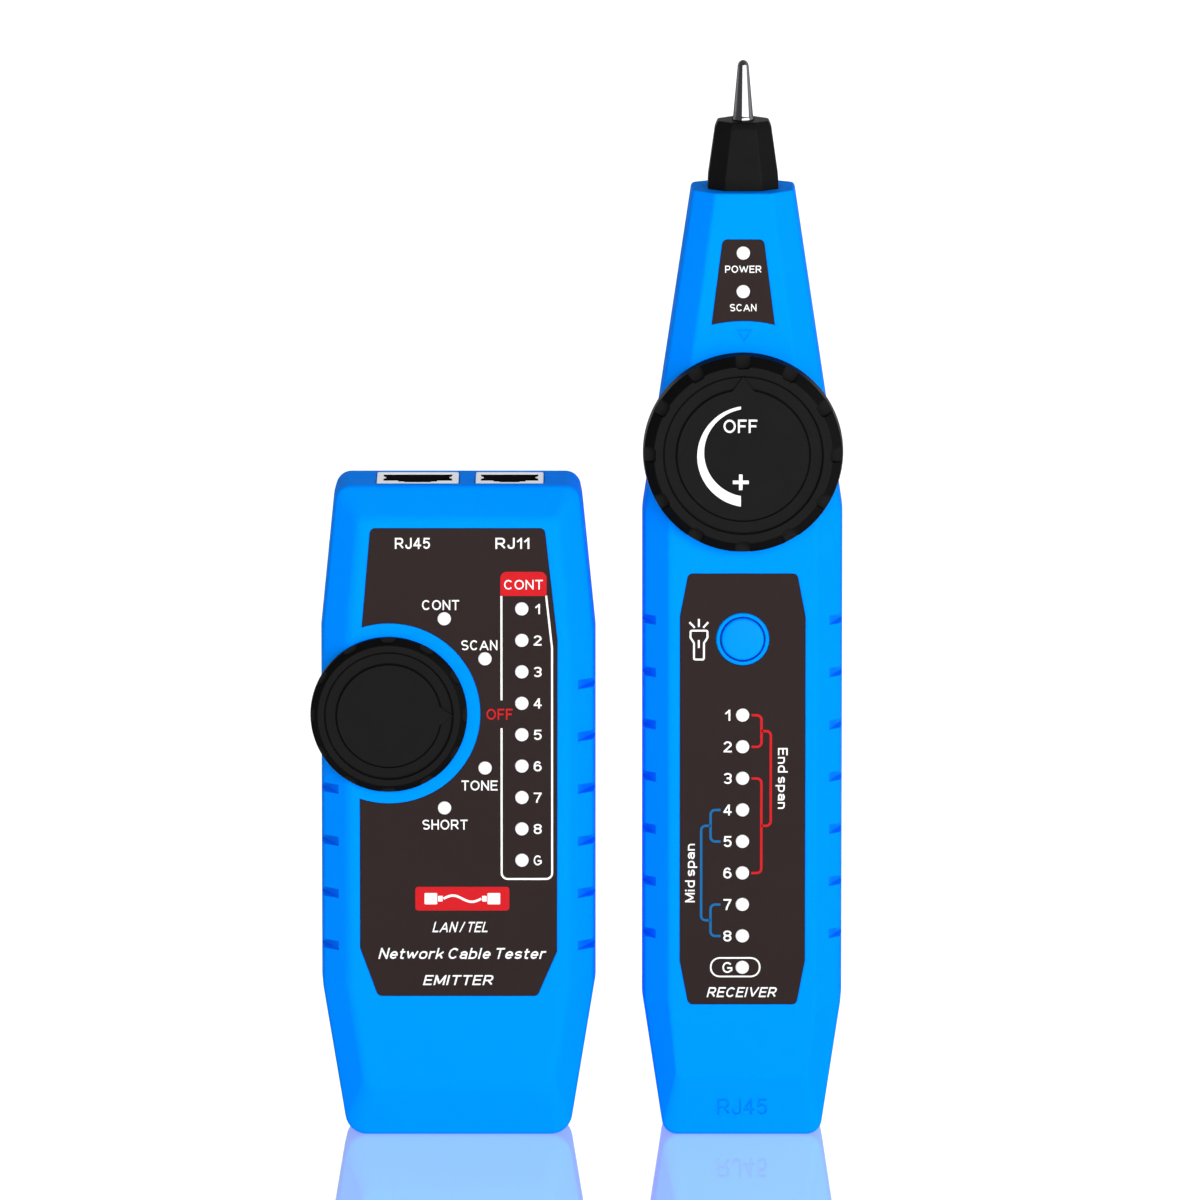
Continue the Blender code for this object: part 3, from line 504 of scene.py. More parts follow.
class Look:
    """Builds one procedural material: a Principled shader fed by textures in the piece's own coordinates."""

    def __init__(self, name, slot=None, specular=0.5, metallic=0.0):
        self.material = bpy.data.materials.new(name)
        self.material.use_nodes = True
        if slot:
            self.material["slot"] = slot
        self.tree = self.material.node_tree
        self.shader = self.tree.nodes["Principled BSDF"]
        fill(self.shader, {"Specular IOR Level": specular, "Metallic": metallic})
        self.coordinates = self.tree.nodes.new("ShaderNodeTexCoord").outputs["Object"]

    def node(self, kind, values, source=None, target=None):
        """A shader node with its values filled in and its target input linked to a source."""
        made = fill(self.tree.nodes.new(kind), values)
        if target:
            self.tree.links.new(source, made.inputs[target])
        return made

    def stretched(self, factors):
        return self.node("ShaderNodeMapping", {"Scale": factors}, self.coordinates, "Vector").outputs["Vector"]

    def noise(self, scale, detail=2.0, roughness=0.5, source=None):
        values = {"Scale": scale, "Detail": detail, "Roughness": roughness}
        return self.node("ShaderNodeTexNoise", values, source or self.coordinates, "Vector").outputs["Fac"]

    def ramp(self, factor, *stops):
        """A colour ramp: stops are (position, colour)."""
        made = self.node("ShaderNodeValToRGB", {}, factor, "Fac")
        elements = made.color_ramp.elements
        while len(elements) < len(stops):
            elements.new(0.5)
        for element, (position, colour) in zip(elements, stops):
            element.position = position
            element.color = colour
        return made.outputs["Color"]

    def span(self, factor, low, high, start=0.3, end=0.7):
        """Brings what lies between start and end to between low and high."""
        values = {"From Min": start, "From Max": end, "To Min": low, "To Max": high}
        return self.node("ShaderNodeMapRange", values, factor, "Value").outputs["Result"]

    def colour(self, source):
        self.tree.links.new(source, self.shader.inputs["Base Color"])
        return self

    def roughness(self, source):
        self.tree.links.new(source, self.shader.inputs["Roughness"])
        return self

    def bump(self, source, strength, distance):
        values = {"Strength": strength, "Distance": distance * MM}
        made = self.node("ShaderNodeBump", values, source, "Height")
        self.tree.links.new(made.outputs["Normal"], self.shader.inputs["Normal"])
        return self


def shade(colour, factor):
    return (*[channel * factor for channel in colour[:3]], 1.0)


def moulded(name, slot, colour, gloss, specular, drift=0.03, grain=1400.0, relief=0.12, depth=0.02):
    """Moulded plastic: a slow drift of colour, an uneven gloss and a fine spark-eroded grain."""
    look = Look(name, slot, specular)
    slow = look.noise(45.0, 3.0)
    look.colour(look.ramp(slow, (0.3, shade(colour, 1 - drift)), (0.7, shade(colour, 1 + drift))))
    look.roughness(look.span(look.noise(220.0, 4.0), gloss - 0.04, gloss + 0.05))
    look.bump(look.noise(grain, 3.0, 0.6), relief, depth)
    return look.material


def metal(name, slot, colour, gloss, stretch, drift=0.06, relief=0.05, edge_tint=1.0):
    """Metal with fine drawn lines, which run along the direction that is stretched least."""
    look = Look(name, slot, 0.5, 1.0)
    fill(look.shader, {"Specular Tint": (edge_tint, edge_tint, edge_tint, 1.0)})
    lines = look.noise(1.0, 4.0, 0.6, look.stretched(stretch))
    look.colour(look.ramp(lines, (0.3, shade(colour, 1 - drift)), (0.7, shade(colour, 1 + drift))))
    look.roughness(look.span(lines, gloss * 0.8, gloss * 1.3))
    look.bump(lines, relief, 0.01)
    return look.material


def circuit_board(name):
    """Solder mask over copper: darker channels between broad tracks, with a scatter of small bright pads."""
    look = Look(name, "board_green", 0.4)
    values = {
        "Scale": 90.0, "Mortar Size": 0.045,
        "Color1": srgb(18, 92, 52), "Color2": srgb(22, 108, 60), "Mortar": srgb(12, 66, 38),
    }
    tracks = look.node("ShaderNodeTexBrick", values, look.stretched((1.0, 1.0, 1.0)), "Vector")
    pads = look.node("ShaderNodeTexVoronoi", {"Scale": 210.0}, look.coordinates, "Vector")
    mask = look.ramp(pads.outputs["Distance"], (0.13, (1, 1, 1, 1)), (0.16, (0, 0, 0, 1)))
    mix = look.node("ShaderNodeMix", {}, mask, "Factor")
    mix.data_type = "RGBA"
    look.tree.links.new(tracks.outputs["Color"], mix.inputs[6])
    mix.inputs[7].default_value = srgb(196, 176, 120)
    look.colour(mix.outputs[2])
    look.roughness(look.span(look.noise(300.0), 0.3, 0.42))
    look.bump(tracks.outputs["Fac"], 0.3, 0.03)
    return look.material


def battery_jacket(name, slot, low, high):
    """Printed foil: a dark jacket with one plain pale band near its top and a faint crinkle."""
    look = Look(name, slot, 0.4, 0.35)
    split = look.node("ShaderNodeSeparateXYZ", {}, look.coordinates, "Vector")
    height = look.span(split.outputs["Z"], 0.0, 1.0, low * MM, high * MM)
    dark = srgb(52, 54, 60)
    pale = srgb(190, 150, 92)
    look.colour(look.ramp(height, (0.0, shade(dark, 0.8)), (0.68, dark), (0.69, pale), (0.93, shade(pale, 1.1)),
                          (0.94, dark)))
    look.roughness(look.span(look.noise(90.0, 3.0), 0.28, 0.42))
    look.bump(look.noise(130.0, 4.0, 0.6), 0.15, 0.05)
    return look.material


BLUE = srgb(0, 134, 255)
case_blue = moulded("case_blue", "case_blue", BLUE, 0.55, 0.002, 0.012, 1500.0, 0.1)
button_blue = moulded("button_blue", "case_blue", BLUE, 0.4, 0.02, 0.012, 1700.0, 0.06)
dial_black = moulded("dial_black", "dial_black", srgb(20, 20, 20), 0.5, 0.025, 0.04, 1300.0, 0.2)
# Painted shade: a deeper black for the knobs' rims, notch walls and sunken channel lines, where shade falls
rim_shade_black = moulded("rim_shade_black", "dial_black", srgb(9, 9, 9), 0.5, 0.03, 0.04, 1300.0, 0.2)
# Painted shade: near-black for the socket cavities' walls and floors, where shade falls
cavity_shade_black = moulded("cavity_shade_black", "dial_black", srgb(9, 9, 10), 0.6, 0.05, 0.1, 900.0, 0.1)
nose_black = moulded("nose_black", "dial_black", srgb(15, 15, 15), 0.5, 0.03, 0.04, 1500.0, 0.1)
inner_black = moulded("inner_black", "dial_black", srgb(30, 30, 32), 0.5, 0.3, 0.12, 900.0, 0.2)
label_dark = moulded("label_dark", "label_dark", srgb(40, 31, 30), 0.5, 0.03, 0.03, 2200.0, 0.08)
socket_white = moulded("socket_white", "socket_white", srgb(247, 249, 250), 0.38, 0.3, 0.02, 1100.0, 0.08)
lens_white = moulded("lens_white", "lens_white", srgb(228, 228, 229), 0.3, 0.3, 0.05, 900.0, 0.15)
ink_white = moulded("ink_white", "lens_white", srgb(232, 232, 232), 0.5, 0.1, 0.015, 2500.0, 0.05)
ink_red = moulded("ink_red", "label_dark", srgb(188, 28, 35), 0.5, 0.03, 0.02, 2500.0, 0.05)
ink_blue = moulded("ink_blue", "label_dark", srgb(24, 95, 150), 0.5, 0.03, 0.02, 2500.0, 0.05)
steel = metal("steel", "steel", srgb(190, 191, 195), 0.26, (90.0, 90.0, 2400.0))
# Painted dark reflection: an edge tint of 0.1 darkens the needle's grazing reflections along its edges
chrome = metal("probe_chrome", "probe_chrome", srgb(122, 122, 125), 0.07, (60.0, 60.0, 3000.0), 0.03, 0.02, 0.1)
gold = metal("contact_gold", "contact_gold", srgb(222, 178, 88), 0.22, (3000.0, 3000.0, 60.0))
board_green = circuit_board("board_green")


# Cases


def rod_set(places, radius, back, front, sides=32, mesh=None):
    mesh = mesh or bmesh.new()
    for place in places:
        rod(place, radius, back, front, sides, mesh)
    return mesh


def grooves(side, reach, top, count):
    """Grip grooves in both flanks: deepest where the front chamfer begins, running out towards the back."""
    mesh = bmesh.new()
    for index in range(count):
        z = top - GROOVE_PITCH * index
        for sign in (-1, 1):
            plan = [(side - 0.12, -2.5), (side + 0.5, -2.5), (side + 0.5, -11.6), (side - reach, -11.6),
                    (side - reach, -10.6)]
            rings = [
                [(sign * x, y, height) for x, y in plan]
                for height in (z - GROOVE_HEIGHT / 2, z + GROOVE_HEIGHT / 2)
            ]
            add_prism(mesh, rings)
    return mesh


def case_rings(side, face, face_edge, outer, flank, seam, tongue, tongue_inset, inner_flank, inner_wall,
               inner_face):
    """Rings of a case half: its outer face and flank, the seam with its tongue or groove, then its inside."""
    rings = [
        ring(face, outer, 2.6),
        ring(face, outer),
        drafted(side, flank),
        ring(side, seam),
        ring(side, seam, tongue_inset),
        ring(side, tongue, tongue_inset),
        ring(side, tongue, WALL),
        ring(side, inner_flank, inner_wall),
        ring(face, inner_face, FRONT_INSET),
    ]
    return soften(rings, (0, face_edge, SIDE_EDGE, SEAM_EDGE, 0, 0, 0, 0, 0))


def front_rings(side, face, face_edge, inner_wall):
    return case_rings(
        side, face, face_edge, -HALF_DEPTH, CHAMFER_DEPTH - HALF_DEPTH, -SEAM, TONGUE, TONGUE_INSET,
        -INNER_CHAMFER, inner_wall, -INNER_FRONT,
    )


def rear_rings(side, face, back, flank, inner_flank, inner_back):
    return case_rings(
        side, face, EMITTER_FACE_EDGE, back, flank, SEAM, TONGUE + TONGUE_GAP, TONGUE_INSET - TONGUE_GAP,
        inner_flank, WALL, inner_back,
    )


def door_recess(unit, node):
    """The step in the rear shell that the battery cover lies in, with the battery's space in front of it."""
    low, high = unit.box(node)
    ledge = rectangle(low.x - 0.12, low.z - 0.12, high.x + 0.12, high.z + 0.12, 1.1, 4)
    space = rectangle(low.x + 0.6, low.z + 0.5, high.x - 0.6, high.z - 0.5)
    mesh = plate(ledge, -HALF_DEPTH - 1, -low.y)
    return mesh, space, low.y


def battery_box(unit, node):
    """The moulded walls round the battery, open to the back."""
    _, space, seat = door_recess(unit, node)
    outer = grown(space, 1.4)
    return plate(outer, -seat - 0.05, 7.0)


def battery_space(unit, node):
    _, space, seat = door_recess(unit, node)
    return plate(space, -HALF_DEPTH - 1, 6.2)


def screw_holes(unit, nodes, back):
    mesh = bmesh.new()
    for node in nodes:
        x, z = unit.middle(node)
        top = back(z)
        levels = [(circle((x, z), 2.75, 32), -14.5), (circle((x, z), 2.75, 32), -top + 0.05),
                  (circle((x, z), 2.45, 32), -top + 0.4), (circle((x, z), 2.45, 32), 2.4 - top),
                  (circle((x, z), 1.5, 32), 2.4 - top), (circle((x, z), 1.5, 32), 7.7)]
        stack(levels, mesh)
    return mesh


def pillars(unit, nodes, back):
    return rod_set([unit.middle(node) for node in nodes], 2.9, -back, 7.0)


HUB_CLEARANCE = 0.6
EMITTER_WALL = 2.7
EMITTER_PILLAR = 9.0
RECEIVER_PILLAR = 5.5
TORCH_BUTTON = RECEIVER.middle("torch_button")
TORCH_WINDOW = rectangle(-1.7, 158.9, 1.7, 165.0, 1.65, 6)
EMITTER_SOCKETS = ["emitter_rj45_socket", "emitter_rj11_socket"]
RECEIVER_SOCKETS = ["receiver_rj45_socket"]
EMITTER_SCREWS = [node for node in sorted(BODY_OF) if node.startswith("emitter_screw")]
RECEIVER_SCREWS = [node for node in sorted(BODY_OF) if node.startswith("receiver_screw")]
MODE_LEDS = [f"mode_led_{mode}" for mode in ("cont", "scan", "tone", "short")]
STATUS_LEDS = ["status_led_power", "status_led_scan"]


def column_places(unit, guide):
    """The nine lamps of a light guide, from the top down. It ends half a bar beyond the end lamps."""
    low, high = unit.box(guide)
    x = (low.x + high.x) / 2
    half = (high.x - low.x) / 2
    top = high.z - half
    pitch = (top - low.z - half) / (LED_COUNT - 1)
    return [(x, top - pitch * index) for index in range(LED_COUNT)]


EMITTER_LAMPS = column_places(EMITTER, "emitter_light_guide")
RECEIVER_LAMPS = column_places(RECEIVER, "receiver_light_guide")
MODE_LAMPS = [EMITTER.middle(node) for node in MODE_LEDS]
STATUS_LAMPS = [RECEIVER.middle(node) for node in STATUS_LEDS]


def rounded_between(corners):
    """A label's edge between two fixed ends, with each of its corners rounded."""
    path = [Vector(corner) for corner in corners]
    line = []
    for before, here, after in zip(path, path[1:], path[2:]):
        line += rounded_corner(before, here, after, LABEL_CORNER, 5)
    return line


def emitter_label_outline():
    """Dark face label: a tapered plate with a round bite that clears the selector knob."""
    x, z = SELECTOR.x, SELECTOR.z
    high = Vector((-16.7, z + math.sqrt(LABEL_CUT_RADIUS**2 - (16.7 + x) ** 2)))
    low = Vector((-17.1, z - math.sqrt(LABEL_CUT_RADIUS**2 - (17.1 + x) ** 2)))
    start = math.atan2(low.y - z, low.x - x)
    end = math.atan2(high.y - z, high.x - x)
    bite = arc((x, z), LABEL_CUT_RADIUS, start, end, 64)
    corners = [(-17.1, 34.2), (-14.0, 25.7), (13.8, 25.7), (17.2, 33.6), (17.3, 88.8), (15.1, 108.5),
               (-15.2, 108.5)]
    return [*rounded_between([bite[0], *corners, bite[-1]]), *reversed(bite)]


def receiver_lower_label_outline():
    corners = [(-9.4, 24.2), (9.4, 24.2), (10.9, 31.9), (10.9, 92.9), (9.45, 100.5), (-9.45, 100.5),
               (-10.9, 92.9), (-10.9, 31.9)]
    return closed_outline(corners, LABEL_CORNER, 5)


def receiver_upper_label_outline():
    """Small tapered label; its lower edge follows the volume knob."""
    radius = 22.9
    swing = math.asin(5.44 / radius)
    lower = arc((0.0, VOLUME.z), radius, math.pi / 2 + swing, math.pi / 2 - swing, 16)
    return [*lower, *rounded_between([lower[-1], (3.55, 159.3), (-3.55, 159.3), lower[0]])]


def label_recess(outline, mesh=None):
    return plate(grown(outline, LABEL_GAP), HALF_DEPTH - LABEL_THICKNESS - LABEL_GAP, HALF_DEPTH + 1, mesh)


def socket_mouths(unit, nodes, low, high):
    """Slots in a shell's edge that the sockets' bodies fill."""
    mesh = bmesh.new()
    for node in nodes:
        start, end = unit.box(node)
        block((start.x - 0.15, start.y - 0.15, low), (end.x + 0.15, end.y + 0.15, high), mesh)
    return mesh


def cut_dial_bore(front, dial):
    cut(front, rod((dial.x, dial.z), HUB_RADIUS + HUB_CLEARANCE, *FACE_CUT, 48))


def fit_out_rear(rear, unit, door, screws, pillar_depth, back):
    """Adds the battery's box and the screw pillars to a rear shell, and cuts the cover's place and holes."""
    join(rear, battery_box(unit, door))
    join(rear, pillars(unit, screws, pillar_depth))
    cut(rear, door_recess(unit, door)[0])
    cut(rear, battery_space(unit, door))
    cut(rear, screw_holes(unit, screws, back))


def make_emitter_case():
    rings = front_rings(EMITTER_SIDE, EMITTER_FRONT, EMITTER_FACE_EDGE, EMITTER_WALL)
    front = make_object("emitter_front_case", tray(rings), EMITTER.origin)
    cut(front, label_recess(emitter_label_outline()))
    cut(front, rod_set([*EMITTER_LAMPS, *MODE_LAMPS], LENS_HOLE, *FACE_CUT))
    cut_dial_bore(front, SELECTOR)
    cut(front, grooves(24.0, 3.1, EMITTER_GROOVE_TOP, EMITTER_GROOVES))
    cut(front, socket_mouths(EMITTER, EMITTER_SOCKETS, *EMITTER_MOUTH))
    settle(front, case_blue, "emitter_front_shell")
    rings = rear_rings(
        EMITTER_SIDE, EMITTER_REAR, HALF_DEPTH, EMITTER_REAR_SIDE, EMITTER_REAR_SIDE - 1, INNER_FRONT,
    )
    rear = make_object("emitter_rear_case", tray(rings), EMITTER.origin)
    fit_out_rear(rear, EMITTER, "emitter_battery_door", EMITTER_SCREWS, EMITTER_PILLAR, flat_back)
    cut(rear, socket_mouths(EMITTER, EMITTER_SOCKETS, *EMITTER_MOUTH))
    settle(rear, case_blue, "emitter_rear_shell")


def engraved_word():
    """The socket's name, cut into the slope above the bottom socket."""
    foot = Vector((0.0, CHAMFER_DEPTH - HALF_DEPTH, 0.0))
    head = Vector((0.0, -HALF_DEPTH, RECEIVER_FRONT[0][1]))
    up = (head - foot).normalized()
    right = Vector((1.0, 0.0, 0.0))
    out = right.cross(up)
    middle = foot + up * 5.85
    mesh = bmesh.new()
    add_text(mesh, "RJ45", (0.0, 0.0), 8.7, 3.3, 0.0, stroke=REGULAR, sink=0.3, rise=0.6)
    turn = Matrix((right, -out, up)).transposed().to_4x4()
    bmesh.ops.transform(mesh, matrix=Matrix.Translation(middle) @ turn, verts=mesh.verts)
    return mesh


def engraved_triangle():
    """A hollow triangle that points down at the volume knob."""
    mesh = bmesh.new()
    corners = [(-1.0, 143.5), (1.28, 143.5), (0.14, 141.6)]
    add_line(mesh, corners, 0.26, closed=True, sink=0.22, rise=0.5)
    return mesh


def make_receiver_case():
    lamps = rod_set([*RECEIVER_LAMPS, *STATUS_LAMPS], LENS_HOLE, *FACE_CUT)
    rings = front_rings(RECEIVER_SIDE, RECEIVER_FRONT, RECEIVER_FACE_EDGE, WALL)
    front = make_object("receiver_front_case", tray(rings), RECEIVER.origin)
    recess = label_recess(receiver_lower_label_outline())
    cut(front, label_recess(receiver_upper_label_outline(), recess))
    join(front, soft_plate(circle(TORCH_BUTTON, BUTTON_RING - LABEL_GAP, 64), 11.5, 13.06, 0.25))
    cut(front, rod(TORCH_BUTTON, BUTTON_HOLE, *FACE_CUT, 64, lamps))
    cut_dial_bore(front, VOLUME)
    cut(front, grooves(17.5, 2.4, RECEIVER_GROOVE_TOP, RECEIVER_GROOVES))
    cut(front, socket_mouths(RECEIVER, RECEIVER_SOCKETS, *RECEIVER_MOUTH))
    cut(front, upright((0.0, probe_y()), [(3.9, 163.0), (3.9, 169.0)], 32))
    cut(front, engraved_triangle())
    cut(front, engraved_word())
    settle(front, case_blue, "receiver_front_shell")
    rings = rear_rings(
        RECEIVER_SIDE, RECEIVER_REAR, receiver_back, sloping(RECEIVER_REAR_SIDE, TOP_REAR_SIDE),
        sloping(RECEIVER_REAR_SIDE - 1, 0.6), sloping(INNER_FRONT, TOP_BACK - WALL),
    )
    rear = make_object("receiver_rear_case", tray(rings), RECEIVER.origin)
    fit_out_rear(rear, RECEIVER, "receiver_battery_door", RECEIVER_SCREWS, RECEIVER_PILLAR, receiver_back)
    cut(rear, socket_mouths(RECEIVER, RECEIVER_SOCKETS, *RECEIVER_MOUTH))
    low, high = RECEIVER.box("torch_led")
    channel = upright((0.0, (low.y + high.y) / 2), [(1.55, 150.0), (1.55, high.z + 0.15)])
    cut(rear, speaker_slots(channel))
    cut(rear, plate(TORCH_WINDOW, -7.0, -1.0))
    settle(rear, case_blue, "receiver_rear_shell")


def speaker_slots(mesh):
    """Five rounded slots in the back, over the loudspeaker."""
    z = RECEIVER.middle("loudspeaker")[1]
    for step in range(-2, 3):
        half = 5.5 - 0.35 * step * step
        plate(rectangle(-half, z + 2.6 * step - 0.6, half, z + 2.6 * step + 0.6, 0.58, 4), -14.0, -10.2, mesh)
    return mesh


def probe_y():
    low, high = RECEIVER.box("probe_tip")
    return (low.y + high.y) / 2


def make_torch_window():
    """A frosted lens in the sloping back, in front of the torch lamp."""
    rings = []
    for inset, sink in ((0.1, 1.6), (0.1, 0.5), (0.35, 0.3)):
        rings.append([(x, receiver_back(z) - sink, z) for x, z in grown(TORCH_WINDOW, -inset)])
    window = make_object("torch_window", add_prism(bmesh.new(), rings), RECEIVER.origin)
    settle(window, lens_white, body=BODY_OF["receiver_rear_shell"], sharp=50)


# Labels and print


def make_label(unit, node, name, outline, holes):
    film = plate(outline, HALF_DEPTH - LABEL_THICKNESS, HALF_DEPTH)
    settle(cut(make_object(name, film, unit.origin), holes), label_dark, node)


def make_labels():
    holes = rod_set([*EMITTER_LAMPS, *MODE_LAMPS], LENS_HOLE, *LABEL_CUT)
    make_label(EMITTER, "emitter_face_label", "emitter_face_film", emitter_label_outline(), holes)
    holes = rod(TORCH_BUTTON, BUTTON_RING, *LABEL_CUT, 64, rod_set(RECEIVER_LAMPS, LENS_HOLE, *LABEL_CUT))
    make_label(RECEIVER, "receiver_lower_label", "receiver_lower_film", receiver_lower_label_outline(), holes)
    holes = rod_set(STATUS_LAMPS, LENS_HOLE, *LABEL_CUT)
    make_label(RECEIVER, "receiver_upper_label", "receiver_upper_film", receiver_upper_label_outline(), holes)


def bow(start, end, low=0.0, high=1.0, steps=16):
    """Points round an oval that fills a glyph's box from low to high, between two angles in degrees."""
    turns = [math.radians(start + (end - start) * step / steps) for step in range(steps + 1)]
    middle, reach = (low + high) / 2, (high - low) / 2
    return [(0.5 + 0.5 * math.cos(a), middle + reach * math.sin(a)) for a in turns]


# Each glyph is its width in capital heights, then its strokes. A stroke's points run from 0 to 1 across and up
# the glyph's box, and a third number rounds that corner. A stroke that ends where it starts is closed.
STEM = [(0, 0), (0, 1)]
SMALL_STEM = [(0, 0), (0, 0.66)]
GLYPHS = {
    "A": (0.98, [(0, 0), (0.5, 1, 0.04), (1, 0)], [(0.2, 0.3), (0.8, 0.3)]),
    "C": (0.9, bow(50, 310)),
    "E": (0.74, [(1, 1), (0, 1), (0, 0), (1, 0)], [(0, 0.52), (0.88, 0.52)]),
    "F": (0.68, [(1, 1), (0, 1), (0, 0)], [(0, 0.5), (0.85, 0.5)]),
    "G": (0.93, [*bow(50, 312), (1, 0.2), (1, 0.45), (0.58, 0.45)]),
    "H": (0.8, STEM, [(1, 0), (1, 1)], [(0, 0.52), (1, 0.52)]),
    "I": (0.2, STEM),
    "J": (0.6, [(1, 1), (1, 0, 0.19), (0, 0, 0.19), (0, 0.25)]),
    "L": (0.68, [(0, 1), (0, 0), (1, 0)]),
    "M": (0.94, STEM, [(1, 0), (1, 1)], [(0.07, 0.92), (0.5, 0.1, 0.03), (0.93, 0.92)]),
    "N": (0.82, STEM, [(1, 0), (1, 1)], [(0.08, 0.93), (0.92, 0.07)]),
    "O": (0.97, bow(0, 360)),
    "P": (0.76, [(0, 0), (0, 1), (1, 1, 0.22), (1, 0.42, 0.22), (0, 0.42)]),
    "R": (0.84, [(0, 0), (0, 1), (0.94, 1, 0.21), (0.94, 0.46, 0.21), (0, 0.46)], [(0.5, 0.45), (0.95, 0.06)]),
    "S": (0.8, [*bow(48, 270, 0.5, 1), *bow(90, -132, 0, 0.5)[1:]]),
    "T": (0.78, [(0, 1), (1, 1)], [(0.5, 0), (0.5, 1)]),
    "V": (0.92, [(0, 1), (0.5, 0, 0.04), (1, 1)]),
    "W": (1.32, [(0, 1), (0.25, 0, 0.03), (0.5, 0.95, 0.03), (0.75, 0, 0.03), (1, 1)]),
    "1": (0.44, [(1, 0), (1, 1)], [(0.05, 0.7), (0.85, 0.94)]),
    "2": (0.68, [*bow(150, -10, 0.4, 1), (0.1, 0.08)], [(0, 0), (1, 0)]),
    "3": (0.68, bow(140, -90, 0.5, 1), bow(90, -140, 0, 0.52)),
    "4": (0.74, [(0.72, 0), (0.72, 1)], [(0, 0.28), (1, 0.28)], [(0.6, 0.95), (0.06, 0.36)]),
    "5": (0.68, [(0.95, 1), (0.14, 1), (0.06, 0.56)], bow(130, -140, 0, 0.64)),
    "6": (0.68, bow(0, 360, 0, 0.62), [*bow(50, 180), (0, 0.31)]),
    "7": (0.68, [(0, 1), (1, 1)], [(0.95, 0.94), (0.42, 0.2, 0.3), (0.36, 0)]),
    "8": (0.7, bow(0, 360, 0.54, 1), bow(0, 360, 0, 0.54)),
    "a": (0.68, [*bow(150, 0, 0.2, 0.66), (1, 0)], bow(0, 360, 0, 0.38)),
    "b": (0.72, STEM, [(0, 0.66), (1, 0.66, 0.24), (1, 0, 0.24), (0, 0)]),
    "d": (0.72, [(1, 0), (1, 1)], [(1, 0.66), (0, 0.66, 0.24), (0, 0, 0.24), (1, 0)]),
    "e": (0.7, [(0.1, 0.33), (0.9, 0.33)], bow(0, 310, 0, 0.66)),
    "i": (0.2, SMALL_STEM, [(0, 0.98), (0, 1)]),
    "k": (0.7, STEM, [(0.15, 0.24), (0.85, 0.62)], [(0.42, 0.4), (0.9, 0.04)]),
    "l": (0.2, STEM),
    "n": (0.68, SMALL_STEM, [(0, 0.66), (1, 0.66, 0.22), (1, 0)]),
    "o": (0.74, [(0, 0, 0.24), (1, 0, 0.24), (1, 0.66, 0.24), (0, 0.66, 0.24), (0, 0)]),
    "p": (0.72, [(0, -0.28), (0, 0.66)], [(0, 0.66), (1, 0.66, 0.24), (1, 0, 0.24), (0, 0)]),
    "r": (0.48, SMALL_STEM, [(0, 0.48), (0.35, 0.66, 0.15), (1, 0.66)]),
    "s": (0.66, [*bow(40, 270, 0.33, 0.66), *bow(90, -140, 0, 0.33)[1:]]),
    "t": (0.46, [(0.35, 0.9), (0.35, 0, 0.12), (1, 0)], [(0, 0.66), (1, 0.66)]),
    "w": (1.02, [(0, 0.66), (0.25, 0, 0.03), (0.5, 0.62, 0.03), (0.75, 0, 0.03), (1, 0.66)]),
    "/": (0.42, [(0, 0), (1, 1)]),
}


def add_ink(mesh, shapes, face, sink=INK_SINK, rise=INK_RISE):
    """Merges flat shapes, which may overlap, and adds them as a closed slab that lies on a face."""
    points = [Vector(point) for shape in shapes for point in shape]
    loops = []
    for shape in shapes:
        start = sum(len(loop) for loop in loops)
        loops.append(list(range(start, start + len(shape))))
    places, _, cells, _, _, sources = delaunay_2d_cdt(points, [], loops, 1, 1e-5)
    cells = [cell for cell, source in zip(cells, sources) if source]
    used = sorted({index for cell in cells for index in cell})
    back = {index: mesh.verts.new((places[index].x, sink - face, places[index].y)) for index in used}
    front = {index: mesh.verts.new((places[index].x, -face - rise, places[index].y)) for index in used}
    sides = set()
    for cell in cells:
        mesh.faces.new([back[index] for index in reversed(cell)])
        mesh.faces.new([front[index] for index in cell])
        sides.update(zip(cell, [*cell[1:], cell[0]]))
    for start, end in sorted(sides):
        if (end, start) not in sides:
            mesh.faces.new((back[start], back[end], front[end], front[start]))
    return mesh


def band(path, width, closed=False):
    """The flat four-sided shapes of a line of constant width."""
    sides = []
    for index, here in enumerate(path):
        before = path[index - 1] if index or closed else None
        after = path[(index + 1) % len(path)] if index < len(path) - 1 or closed else None
        first = edge_normal(before, here) if before is not None else edge_normal(here, after)
        second = edge_normal(here, after) if after is not None else first
        offset = (first + second) * width / 2 / max(1 + first.dot(second), 0.2)
        sides.append((here - offset, here + offset))
    pairs = list(zip(sides, sides[1:]))
    if closed:
        pairs.append((sides[-1], sides[0]))
    return [[first[0], second[0], second[1], first[1]] for first, second in pairs]


def glyph_shapes(glyph, left, stroke):
    """One glyph's strokes as flat shapes, at capital height 1 and with its box starting at the left."""
    width, *strokes = GLYPHS[glyph]
    shapes = []
    for marks in strokes:
        corners = [(*mark, 0.0)[:3] for mark in marks]
        points = [Vector((left + stroke / 2 + (width - stroke) * u, stroke / 2 + (1 - stroke) * v))
                  for u, v, _ in corners]
        closed = (points[0] - points[-1]).length < 0.01
        if closed:
            points = points[:-1]
        else:
            points[0] += (points[0] - points[1]).normalized() * stroke / 2
            points[-1] += (points[-1] - points[-2]).normalized() * stroke / 2
        path = rounded_path(points, [radius for _, _, radius in corners], closed)
        shapes += band(path, stroke, closed)
    return shapes


